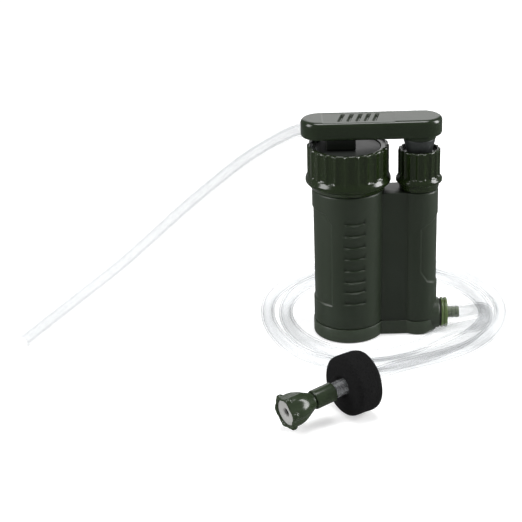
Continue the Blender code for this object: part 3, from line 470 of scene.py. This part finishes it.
AXIS = np.array((math.cos(FLOAT_HEADING), math.sin(FLOAT_HEADING), 0.0))
FLOAT_AT = np.array(FLOAT_CENTRE)
STRAINER_WAY = AXIS * math.cos(STRAINER_TILT) - np.array((0.0, 0.0, math.sin(STRAINER_TILT)))
STRAINER_AT = FLOAT_AT + AXIS * (FLOAT_HALF + STRAINER_STAND_OFF)
STRAINER_AT[2] = (STRAINER_LIFT + BELL_R * math.cos(STRAINER_TILT)
                  + (SLEEVE_LENGTH + BELL_LENGTH) * math.sin(STRAINER_TILT))


def smooth(route, spacing=1.5):
    """Points along a smooth curve through the route, about that far apart.

    Each gap is a cubic with the tangents of the parabola through a point and its neighbours.
    """
    p = np.asarray(route, float)
    chord = np.linalg.norm(np.diff(p, axis=0), axis=1)[:, None]
    slope = np.diff(p, axis=0) / chord
    inner = (slope[:-1] * chord[1:] + slope[1:] * chord[:-1]) / (chord[:-1] + chord[1:])
    tangent = np.vstack((slope[:1], inner, slope[-1:]))
    pieces = []
    for i, length in enumerate(chord[:, 0]):
        t = np.linspace(0, 1, max(2, round(length / spacing)), endpoint=False)[:, None]
        blend = 3 * t ** 2 - 2 * t ** 3
        pieces.append(p[i] * (1 - blend) + p[i + 1] * blend
                      + tangent[i] * length * (t - 2 * t ** 2 + t ** 3)
                      + tangent[i + 1] * length * (t ** 3 - t ** 2))
    return np.vstack((*pieces, p[-1:]))


def framed(path):
    """Two unit directions across the path at each point, one level and one square to it."""
    ahead = np.gradient(path, axis=0)
    ahead /= np.linalg.norm(ahead, axis=1, keepdims=True)
    across = np.cross(ahead, (0.0, 0.0, 1.0))
    across /= np.linalg.norm(across, axis=1, keepdims=True)
    return across, np.cross(across, ahead)


def tube(path, outer, inner, count=28):
    """A tube with a wall: rings of the outer radius along the path, then back along the inner radius."""
    across, up = framed(path)
    a = (np.arange(count) * TURN / count)[None, :, None]
    ring = across[:, None] * np.cos(a) + up[:, None] * np.sin(a)
    skin = path[:, None] + ring * np.asarray(outer)[:, None, None]
    lining = path[:, None] + ring * np.asarray(inner)[:, None, None]
    return closed(np.vstack((skin, lining[::-1])), joined=True)


def run(path):
    """Distance along the path at each of its points."""
    return np.concatenate(([0.0], np.cumsum(np.linalg.norm(np.diff(path, axis=0), axis=1))))


def stretched(path, over):
    """Outer and inner radii along a hose whose first stretch, over long, is pushed on to a barb."""
    swell = 1 - wave((run(path) - over) / SWELL_FADE)
    return HOSE_R + WALL_SWELL * swell, HOSE_BORE_R + (BORE_OVER_BARB - HOSE_BORE_R) * swell


def hoses():
    """Both hoses, from the shoulders of their barbs to the strainer and to the cut end."""
    tip = STRAINER_AT + STRAINER_WAY * HOSE_INTO_SLEEVE
    ends = [tuple(FLOAT_AT - AXIS * FLOAT_HALF), tuple(FLOAT_AT + AXIS * FLOAT_HALF)]
    ends += [tuple(STRAINER_AT - STRAINER_WAY * HOSE_LEAD), tuple(STRAINER_AT), tuple(tip)]
    starts = (BARB_TIP_X - 8.6, BARB_TIP_X, BARB_TIP_X + HOSE_LEAD)
    intake = smooth([(x, 0.0, NOZZLE_Z) for x in starts] + INTAKE_ROUTE + ends)
    starts = (SPOUT_TIP_X + 13.2, SPOUT_TIP_X, SPOUT_TIP_X - HOSE_LEAD)
    outlet = smooth([(x, SPOUT_Y, SPOUT_Z) for x in starts] + OUTLET_ROUTE)
    first = piece("hose_in", [tube(intake, *stretched(intake, 9.5))], "clear_hose",
                  stands_for=("intake_hose",), sharp=60.0)
    # The outlet hose takes the greyer copy of the clear hose material, set darker than the intake hose.
    second = piece("hose_out", [tube(outlet, *stretched(outlet, 14.5))], "greyer_hose",
                   stands_for=("outlet_hose",), sharp=60.0)
    return first, intake, second, outlet


# ---------------------------------------------------------------- housing

FILTER_R = 26.0
FILTER_TAPER = 0.7
FILTER_TOP = 113.5
PUMP_R = 13.9
PUMP_TOP = 111.0
WEB_HALF = 10.9
BASE_TOP = 10.7
SCOOP_HEIGHTS = (92.8, 84.0, 74.9, 66.1, 56.9, 47.9, 40.0, 30.6)
SCOOP_ANGLE = math.radians(-82.0)
SCOOP_HALF_WIDTH = 8.1
SCOOP_RISE = 5.6
SCOOP_DEPTH = 1.25
SCOOP_LIP = 0.3
PANEL_DEPTH = 0.8
PANEL_START = 31.0
PANEL_TOP = 99.5
PANEL_LOW = 28.5
PUMP_PANEL_DEPTH = 0.6
PUMP_PANEL_START = 4.0


def filter_barrel_shape(r, a, z):
    """The barrel's radius less a recessed side panel and eight finger scoops.

    The panel lies between two angles and two heights, its top front corner cut off. A scoop is
    deepest at its ledge and fades out upwards as (1 - rise)^1.6, with a raised lip under the ledge.
    """
    from_front = np.degrees(wrapped(a + math.pi / 2))
    from_back = 180.0 - np.abs(from_front)
    left = (np.abs(wrapped(a - math.pi)) < math.pi / 2).astype(float)
    angle = np.minimum(np.abs(from_front), from_back)
    arc = (angle - PANEL_START) * math.radians(1.0) * r
    top_edge = PANEL_TOP - 7.0 * wave((44.0 - angle) / 14.0)
    rise = wave((top_edge - z) / 0.9 + 0.5) * wave((z - PANEL_LOW) / 0.9 + 0.5)
    panel = left * wave(arc / 0.9 + 0.5) * rise
    across = wrapped(a - SCOOP_ANGLE) * r
    edge = wave((SCOOP_HALF_WIDTH - np.abs(across)) / 1.2)
    sag = 0.5 * (across / SCOOP_HALF_WIDTH) ** 2
    scoops, lips = 0 * z, 0 * z
    for height in SCOOP_HEIGHTS:
        above = z - height - sag
        fade = np.clip(1 - above / SCOOP_RISE, 0, 1) ** 1.6
        scoops = np.maximum(scoops, wave(above / 0.5 + 0.5) * fade)
        lips = np.maximum(lips, wave(1 - np.abs(above + 0.45) / 0.9))
    return r - PANEL_DEPTH * panel - (SCOOP_DEPTH * scoops - SCOOP_LIP * lips) * edge


def pump_barrel_shape(r, a, z):
    """The pump barrel's radius less a recessed panel round its outer side, with slanting ends."""
    angle = 90.0 - np.abs(np.degrees(wrapped(a)))
    inward = angle - PUMP_PANEL_START
    arc = inward * math.radians(1.0) * r
    top = 84.0 + 7.6 * np.clip(inward / 62.0, 0, 1)
    low = 50.0 - 8.0 * np.clip(inward / 22.0, 0, 1) - 3.0 * np.clip((angle - 26.0) / 40.0, 0, 1)
    panel = wave(arc / 0.8 + 0.5) * wave((top - z) / 0.9 + 0.5) * wave((z - low) / 0.9 + 0.5)
    return r - PUMP_PANEL_DEPTH * panel


def barrels():
    """Both barrels with their necks and the web between them."""
    low, top = BODY_LOW.z, FILTER_TOP
    filter_z = levels(low + 0.5, top - 1.1, 0.42)
    filter_r = FILTER_R - FILTER_TAPER * (top - filter_z) / (top - low)
    wall = np.stack((filter_r, filter_z), -1)
    foot = [(24.2, low), (25.0, low + 0.1)]
    shoulder = [(25.9, top - 0.7), (25.6, top - 0.25), (25.1, top), (24.9, top)]
    neck = [(24.9, top + 6.0), (24.9, BODY_HIGH.z)]
    filter_barrel = spun(np.vstack((foot, wall, shoulder, neck)), 240, shape=filter_barrel_shape)
    top = PUMP_TOP
    pump_z = levels(low + 0.5, top - 1.0, 0.8)
    wall = np.stack((np.full_like(pump_z, PUMP_R), pump_z), -1)
    foot = [(13.0, low), (13.7, low + 0.1)]
    shoulder = [(13.8, top - 0.6), (13.5, top - 0.2), (13.1, top), (12.5, top), (12.5, 127.0)]
    pump_barrel = spun(np.vstack((foot, wall, shoulder)), 200, PUMP, pump_barrel_shape)
    piece("barrels", [filter_barrel, pump_barrel, *web(low, top, WEB_HALF)], "satin_green",
          stands_for=("body_shell",), sharp=50.0)


def slab(low, high, radius=0.5, steps=4):
    """A box with eased upright and level edges: stacked rounded rectangles drawn in at both ends."""
    low, high = np.asarray(low, float), np.asarray(high, float)
    middle, half = (low + high) / 2, (high - low) / 2
    quarter = np.linspace(0, math.pi / 2, steps)
    turn = (quarter[None, :] + np.arange(4)[:, None] * math.pi / 2).reshape(-1)
    side = np.array([(1, 1), (-1, 1), (-1, -1), (1, -1)]).repeat(steps, 0)
    tilt = np.linspace(0, math.pi / 2, steps)
    draw = np.concatenate((1 - np.sin(tilt), 1 - np.sin(tilt[::-1]))) * radius
    lift = radius * (1 - np.cos(tilt))
    z = np.concatenate((lift - half[2], half[2] - lift[::-1]))
    core = side * (half[:2] - radius)
    rings = core[None] + (radius - draw)[:, None, None] * np.stack((np.cos(turn), np.sin(turn)), -1)[None]
    grid = np.concatenate((rings, np.broadcast_to(z[:, None, None], (*rings.shape[:2], 1))), -1)
    return closed(grid + middle)


def web(low, top, half):
    """The flat web, and the thin raised edge where it runs on to the pump barrel."""
    return [slab((0.0, -half, low), (41.9, half, top), 0.35),
            slab((41.5, -half - 0.3, low), (42.2, half + 0.3, top), 0.25)]


def base():
    """The skirt under both barrels, the slab that joins its rings, and the inlet boss."""
    top, half = BASE_TOP, 11.3

    def skirt(r, count, centre=(0.0, 0.0)):
        return spun([(r - 1.4, 0.0), (r - 0.7, 0.12), (r - 0.25, 0.5), (r, 1.2), (r, top - 0.5),
                     (r - 0.2, top - 0.1), (r - 0.6, top)], count, centre)

    boss = [(11.2, -0.1), (11.2, 14.5), (11.0, 15.2), (10.6, 15.5), (7.0, 15.5), (7.0, 13.0)]
    # The skirt gets the lighter green, which carries painted bounce light from the floor.
    piece("base", [skirt(25.75, 180), skirt(14.35, 120, PUMP),
                   slab((0, -half, 0.0), (PUMP_X, half, top), 0.5),
                   carried(spun(boss, 96), (PUMP_X + 0.4, 0.0, NOZZLE_Z), (1, 0, 0))],
          "skirt_green_bounce_lit", stands_for=("base_cover",))


RING_NUT_R = 29.1
GLAND_NUT_R = 15.0


def ribbed(ribs, phase, width, slope, depth, low, high):
    """A radius function with narrow ribs between broad flutes, from low to high."""
    def shape(r, a, z):
        pitch = TURN / ribs
        across = np.abs((a - phase + pitch / 2) % pitch - pitch / 2) * r
        rib = 1 - wave((across - width / 2) / slope + 0.5)
        on = band(z, low, high, 1.6)
        belly = np.clip((across - width / 2) / (pitch * r / 2 - width / 2), 0, 1)
        return r - on * depth * (1 - rib) * (0.8 + 0.2 * belly)
    return shape


def nut(name, profile, ribs, phase, wall, span, centre, body, stands_for, count):
    """A nut turned from its profile, with ribs where its outer wall is, between the heights of span.

    The ribs are as wide as the ring nut's, less on a nut with a smaller wall radius.
    """
    low, high = span
    share = wall / RING_NUT_R
    side = np.stack((np.full(24, wall), np.linspace(low, high - 1.6, 24)), -1)
    cut = max(k for k in range(len(profile)) if profile[k, 1] < low and profile[k, 0] > wall - 0.6)
    profile = np.vstack((profile[:cut + 1], side, profile[cut + 1:]))
    shape = ribbed(ribs, phase, 1.7 * share + 0.3, 1.9 * share + 0.4, 1.1, low - 0.4, high + 2.0)

    def outside(r, a, z):
        return np.where((r > wall - 1.6) & (z > low - 2.0), shape(r, a, z), r)

    piece(name, [spun(profile, count, centre, outside, joined=True)], "gloss_green", body,
          (stands_for,), 50.0)


def nuts():
    """The ring nut on the filter barrel and the gland nut on the pump barrel."""
    low, high = NUT_LOW.z, NUT_HIGH.z
    outer, step = RING_NUT_R, low + 3.3
    profile = eased([(25.7, low), (26.8, low), (28.8, step), (30.4, step + 0.9), (30.4, step + 3.4),
                     (outer, step + 5.8), (outer, high - 0.9), (outer - 0.9, high), (26.6, high),
                     (26.6, 144.0), (23.3, 144.0), (23.3, 138.6), (25.7, 138.6)], 0.7, 5, loop=True)
    nut("ring_nut", profile, 24, math.radians(-95.0), outer, (step + 7.0, high), (0.0, 0.0),
        "filter_nut", "filter_ring_nut", 480)
    low, high = GLAND_LOW.z, GLAND_HIGH.z
    outer, step = GLAND_NUT_R, low + 4.2
    profile = eased([(12.9, low), (14.0, low), (14.7, step), (16.5, step + 0.8), (16.5, step + 2.9),
                     (outer, step + 4.7), (outer, high - 0.7), (outer - 0.7, high), (12.6, high),
                     (12.6, 138.2), (5.7, 138.2), (5.7, 127.4), (12.9, 127.4)], 0.6, 5, loop=True)
    nut("gland_nut_ribbed", profile, 18, math.radians(-80.0), outer, (step + 5.6, high), PUMP,
        "gland_nut", "gland_nut", 360)


def ridges(start, length, foot, peak, end):
    """Barb ridges along a length: foot, peak and end are their places past the start of each pitch."""
    pitch = length / BARB_RIDGES
    profile = []
    for ridge in range(BARB_RIDGES):
        at = start + ridge * pitch
        profile += [(BARB_R, at + foot), (BARB_RIDGE_R, at + peak), (BARB_R, at + pitch + end)]
    return profile


def head_and_spout():
    """The filter's fixed head, and the outlet block with its barb."""
    profile = [(2.5, 128.0), (22.2, 128.0), (22.2, 134.3), (25.0, 134.3), (25.0, 138.2), (23.0, 138.2),
               (23.0, 143.3), (2.5, 143.3)]
    piece("head", [spun(eased(profile, 0.4, 4, loop=True), 128, joined=True)], "head_plastic",
          stands_for=("filter_head",))
    barb = [(0.5, -1.0), (BARB_R, -1.0), (BARB_R, 0.2), *ridges(0.0, 14.0, 0.2, 1.3, -0.1)]
    barb += [(BARB_BORE_R, 14.0), (BARB_BORE_R, 6.0)]
    piece("spout", [slab((-15.6, -10.0, 143.6), (5.1, 10.0, 151.7), 0.8),
                    slab((-10.0, 8.0, 144.6), (2.0, 22.8, 151.4), 0.8),
                    slab((-10.3, 14.0, 144.9), (2.3, 23.1, 154.2), 1.2, 6),
                    carried(spun(eased(barb, 0.2, 3), 64), (-10.0, SPOUT_Y, SPOUT_Z), (-1, 0, 0))],
          "dark_plastic", stands_for=("outlet_spout",))


def nozzle():
    """The inlet nozzle: spigot, two-disc flange, a ridged barb, and the valve's pocket inside."""
    profile = [(6.5, -2.2), (6.5, 0.0), (10.7, 0.0), (11.0, 0.3), (11.0, 1.6), (10.3, 2.0), (10.3, 2.5),
               (11.0, 2.8), (11.0, 4.2), (10.7, 4.6), (4.1, 4.6), *ridges(4.6, 9.1, 0.2, 0.9, -0.1)]
    profile += [(BARB_BORE_R, 13.7), (BARB_BORE_R, 2.4), (4.5, 2.4), (4.5, -0.2), (3.5, -0.2), (3.5, -2.2)]
    turned = spun(eased(profile, 0.2, 3, loop=True), 96, joined=True)
    piece("nozzle", [carried(turned, (FLANGE_X, 0, NOZZLE_Z), (1, 0, 0))], "barb_green",
          stands_for=("inlet_nozzle",))


# ---------------------------------------------------------------- plunger and handle

def plunger_parts():
    """The rod and its conical collar."""
    collar = [(5.3, 138.5), (9.0, 138.5), (11.0, 146.6), (11.2, 147.6), (11.2, 149.0), (5.3, 149.0)]
    piece("collar", [spun(eased(collar, 0.5, 5, loop=True), 96, PUMP, joined=True)], "grey_plastic",
          "plunger", ("plunger_collar",))
    rod = [(0.1, 24.4), (5.0, 24.4), (5.0, 149.0), (3.5, 149.0), (3.5, 155.6), (1.8, 155.6), (1.8, 145.6),
           (0.1, 145.6)]
    piece("rod", [spun(eased(rod, 0.3, 3), 64, PUMP)], "grey_plastic", "plunger", ("plunger_rod",))


def stadium(inset, ends=56, sides=230):
    """The handle's outline drawn in by inset: half circles at both ends, joined by straight sides."""
    half = (HANDLE_HIGH.y - HANDLE_LOW.y) / 2
    left, right = HANDLE_LOW.x + half, HANDLE_HIGH.x - half
    t = np.linspace(-math.pi / 2, math.pi / 2, ends)
    x = np.linspace(right, left, sides + 1)[1:-1]
    angle = np.concatenate((t, np.full(len(x), math.pi / 2), t + math.pi, np.full(len(x), -math.pi / 2)))
    middle = np.concatenate((np.full(ends, right), x, np.full(ends, left), x[::-1]))
    return np.stack((middle + (half - inset) * np.cos(angle), (half - inset) * np.sin(angle)), -1)


GRIP_BARS = (-4.6, 1.7, 8.0, 13.8, 19.8)
GRIP_LEAN = 0.22
GRIP_HALF_LENGTH = 6.6
GRIP_HALF_WIDTH = 1.6
GRIP_DEPTH = 1.8
RECESS = (-18.0, 32.3)
RECESS_DEPTH = 0.55
RECESS_EDGE = 1.6


def top_height(x, y):
    """Depth below the handle's top: a shallow middle recess with five rounded slots in it."""
    recess = band(x, *RECESS, RECESS_EDGE) * RECESS_DEPTH
    slots = 0 * x
    for bar in GRIP_BARS:
        across = x - bar - GRIP_LEAN * y
        reach = np.hypot(across, np.maximum(np.abs(y) - GRIP_HALF_LENGTH, 0))
        slots = np.maximum(slots, np.clip(1 - reach / GRIP_HALF_WIDTH, 0, 1))
    return recess + GRIP_DEPTH * slots


def handle():
    """The handle's shell: rings of the stadium outline from the inner wall round the rim to the middle."""
    low, high = HANDLE_LOW.z, HANDLE_HIGH.z
    half = (HANDLE_HIGH.y - HANDLE_LOW.y) / 2
    steps = [(2.0, high - 2.0), (2.0, low + 0.2), (1.7, low), (1.4, low)]
    lower = np.linspace(0, math.pi / 2, 7)
    steps += [(1.6 * (1 - math.sin(t)), low + 2.0 * (1 - math.cos(t))) for t in lower]
    steps += [(0.0, z) for z in np.linspace(low + 2.6, high - 3.8, 6)]
    upper = np.linspace(0, math.pi / 2, 10)
    steps += [(3.2 * (1 - math.cos(t)), high - 3.2 * (1 - math.sin(t))) for t in upper]
    steps += [(inset, high) for inset in np.linspace(3.5, half, 30)]
    rings = []
    for inset, z in steps:
        ring = stadium(inset)
        rings.append(np.column_stack((ring, np.full(len(ring), float(z)))))
    grid = np.stack(rings)
    lid = grid[..., 2] > high - 0.6
    inset = np.array([step[0] for step in steps])[:, None]
    share = wave((inset - 1.6) / 1.6) * lid
    grid[..., 2] -= top_height(grid[..., 0], grid[..., 1]) * share
    merged(piece("handle_top", [closed(grid, drawn_in=True)], "handle_green", "handle",
                 ("handle_shell",), 60.0))


# ---------------------------------------------------------------- float and strainer

def float_piece():
    """The foam float: a thick ring with soft edges and a slightly uneven skin."""
    profile = eased([(FLOAT_HOLE_R, -FLOAT_HALF), (FLOAT_R, -FLOAT_HALF), (FLOAT_R, FLOAT_HALF),
                     (FLOAT_HOLE_R, FLOAT_HALF)], 4.4, 9, loop=True)
    fine = []
    for start, end in zip(profile, np.roll(profile, -1, 0)):
        parts = max(1, round(np.linalg.norm(end - start) / 0.8))
        fine.append(start + (end - start) * np.arange(parts)[:, None] / parts)

    def uneven(r, a, z):
        dents = np.sin(3 * a + 0.6) * np.sin(0.21 * z + 1.0) + 0.6 * np.sin(7 * a + 0.35 * z)
        return r + np.where(r > 7.0, 0.14 * dents - 0.1, 0.0)

    ring = spun(np.vstack(fine), 160, shape=uneven, joined=True)
    made = piece("foam_float", [carried(ring, FLOAT_AT, AXIS)], "foam", stands_for=("float",), sharp=70.0)
    return made


def bell_shape(r, a, z):
    """The bell's radius: flutes sunk between broad lobes, with a small round knob at each lobe's end.

    A knob is a raised cap of height sqrt(1 - d^2) over its distance d from the lobe's middle and the rim.
    """
    along = z / BELL_LENGTH
    lobes = np.cos(BELL_LOBES * (a - BELL_TURN))
    flute = BELL_FLUTE * wave((along - 0.3) / 0.4) * (0.5 - 0.5 * lobes) ** 2
    across = wrapped(BELL_LOBES * (a - BELL_TURN)) / BELL_LOBES * BELL_R / KNOB_R
    down = (z - (BELL_LENGTH - KNOB_R)) / KNOB_R
    cap = np.sqrt(np.clip(1 - across ** 2 - down ** 2, 0, 1))
    outside = r > 9.4 * wave(along / 0.4)
    return np.where(outside, r - flute + KNOB_HEIGHT * cap, r)


def strainer():
    """Sleeve, lobed bell with its mouth, and the disc with its hole."""
    end = SLEEVE_LENGTH
    sleeve = eased([(5.4, 0.2), (6.0, 0.2), (6.6, 0.9), (6.6, end - 0.6), (6.2, end - 0.1),
                    (5.4, end - 0.1)], 0.3, 4, loop=True)
    collar = piece("sleeve", [carried(spun(sleeve, 80, joined=True), STRAINER_AT, STRAINER_WAY)],
                   "strainer_green", stands_for=("strainer_sleeve",))
    t = np.linspace(0, 1, 70)
    end = BELL_LENGTH
    neck_r = 5.6
    flare = neck_r + (BELL_R - 0.6 - neck_r) * np.sin(np.clip(t / 0.72, 0, 1) * math.pi / 2) ** 1.25
    outside = np.stack((flare, 0.5 + t * (end - 1.1)), -1)
    rim = [(BELL_R - 0.8, end - 0.25), (BELL_R - 1.2, end - 0.05), (10.1, end - 0.1), (9.2, end - 0.7),
           (9.0, end - 1.2)]
    inside = [(9.0, end - 4.4), (3.9, end - 4.4), (3.9, 0.2), (5.3, 0.05)]
    place = STRAINER_AT + STRAINER_WAY * SLEEVE_LENGTH
    turned = spun(np.vstack((outside, rim, inside)), 240, shape=bell_shape, joined=True)
    mouth = piece("bell", [carried(turned, place, STRAINER_WAY)], "strainer_green",
                  stands_for=("strainer_bell",))
    disc = [(2.8, end - 4.0), (8.9, end - 4.0), (8.9, end - 1.5), (3.6, end - 1.5), (2.8, end - 2.2)]
    turned = spun(eased(disc, 0.3, 4, loop=True), 96, joined=True)
    face = piece("disc", [carried(turned, place, STRAINER_WAY)], "disc_plastic",
                 stands_for=("strainer_disc",))
    return collar, mouth, face


# ---------------------------------------------------------------- stage

CAMERA_AT = Vector((-50.87, -1051.15, 522.62)) * MM
CAMERA_WAY = Vector((-0.01127, 0.91404, -0.40546))
CAMERA_ROLL = math.radians(-1.74)
LENS = 108.71


def camera():
    """The camera, with its roll about the line of sight."""
    data = bpy.data.cameras.new("camera")
    data.lens = LENS
    data.sensor_width = 36.0
    data.clip_end = 20.0
    obj = bpy.data.objects.new("camera", data)
    ahead = CAMERA_WAY.normalized()
    right = ahead.cross(Vector((0, 0, 1))).normalized()
    up = right.cross(ahead)
    c, s = math.cos(CAMERA_ROLL), math.sin(CAMERA_ROLL)
    right, up = right * c + up * s, up * c - right * s
    turn = Matrix((right, up, -ahead)).transposed()
    obj.matrix_world = Matrix.Translation(CAMERA_AT) @ turn.to_4x4()
    bpy.context.scene.collection.objects.link(obj)
    bpy.context.scene.camera = obj


def area_light(name, place, target, size, power):
    """A rectangular studio light of that size, aimed at the target."""
    data = bpy.data.lights.new(name, "AREA")
    data.shape = "RECTANGLE"
    data.size, data.size_y = size
    data.energy = power
    obj = bpy.data.objects.new(name, data)
    obj.location = place
    obj.rotation_euler = (Vector(target) - Vector(place)).to_track_quat("-Z", "Y").to_euler()
    obj.visible_camera = False
    bpy.context.scene.collection.objects.link(obj)


def stage():
    """A plain pale floor, a white surround and soft lights."""
    mesh = bpy.data.meshes.new("floor")
    reach, level = 6.0, -0.0004
    mesh.from_pydata([(-reach, -reach, level), (reach, -reach, level), (reach, reach, level),
                      (-reach, reach, level)], [], [(0, 1, 2, 3)])
    floor = bpy.data.objects.new("floor", mesh)
    bpy.context.scene.collection.objects.link(floor)
    sheet = Sheet("floor_white")
    mesh.materials.append(sheet.set(Base_Color=(0.80, 0.80, 0.80), Roughness=0.9, Specular_IOR_Level=0.0,
                                    Emission_Color=(1.0, 1.0, 1.0), Emission_Strength=0.42))
    floor.visible_glossy = False
    world = bpy.data.worlds.new("surround")
    world.use_nodes = True
    glow = world.node_tree.nodes["Background"].inputs
    glow["Color"].default_value = (1.0, 1.0, 1.0, 1.0)
    glow["Strength"].default_value = 0.24
    bpy.context.scene.world = world
    area_light("left_box", (-1.1, -0.35, 0.55), (0.0, 0.0, 0.07), (0.5, 1.0), 13.0)
    area_light("right_box", (1.1, -0.05, 0.50), (0.03, 0.0, 0.07), (0.45, 0.9), 16.0)
    area_light("back_wall", (0.0, 2.0, 1.05), (0.0, 0.0, 0.12), (1.7, 1.6), 10.0)
    area_light("top_box", (0.0, -0.1, 1.3), (0.02, 0.0, 0.1), (0.7, 0.5), 10.0)


def finish_kept_nodes():
    """Better materials on the inner pieces whose shapes stay as they are."""
    for node, finish in KEPT.items():
        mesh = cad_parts[node].data
        mesh.materials.clear()
        mesh.materials.append(MATERIALS[finish])


camera()
stage()
bpy.context.scene.view_settings.view_transform = "Standard"
intake_hose, intake_path, outlet_hose, outlet_path = hoses()
foam = float_piece()
strainer_pieces = strainer()
barrels()
base()
nuts()
head_and_spout()
nozzle()
plunger_parts()
handle()
finish_kept_nodes()
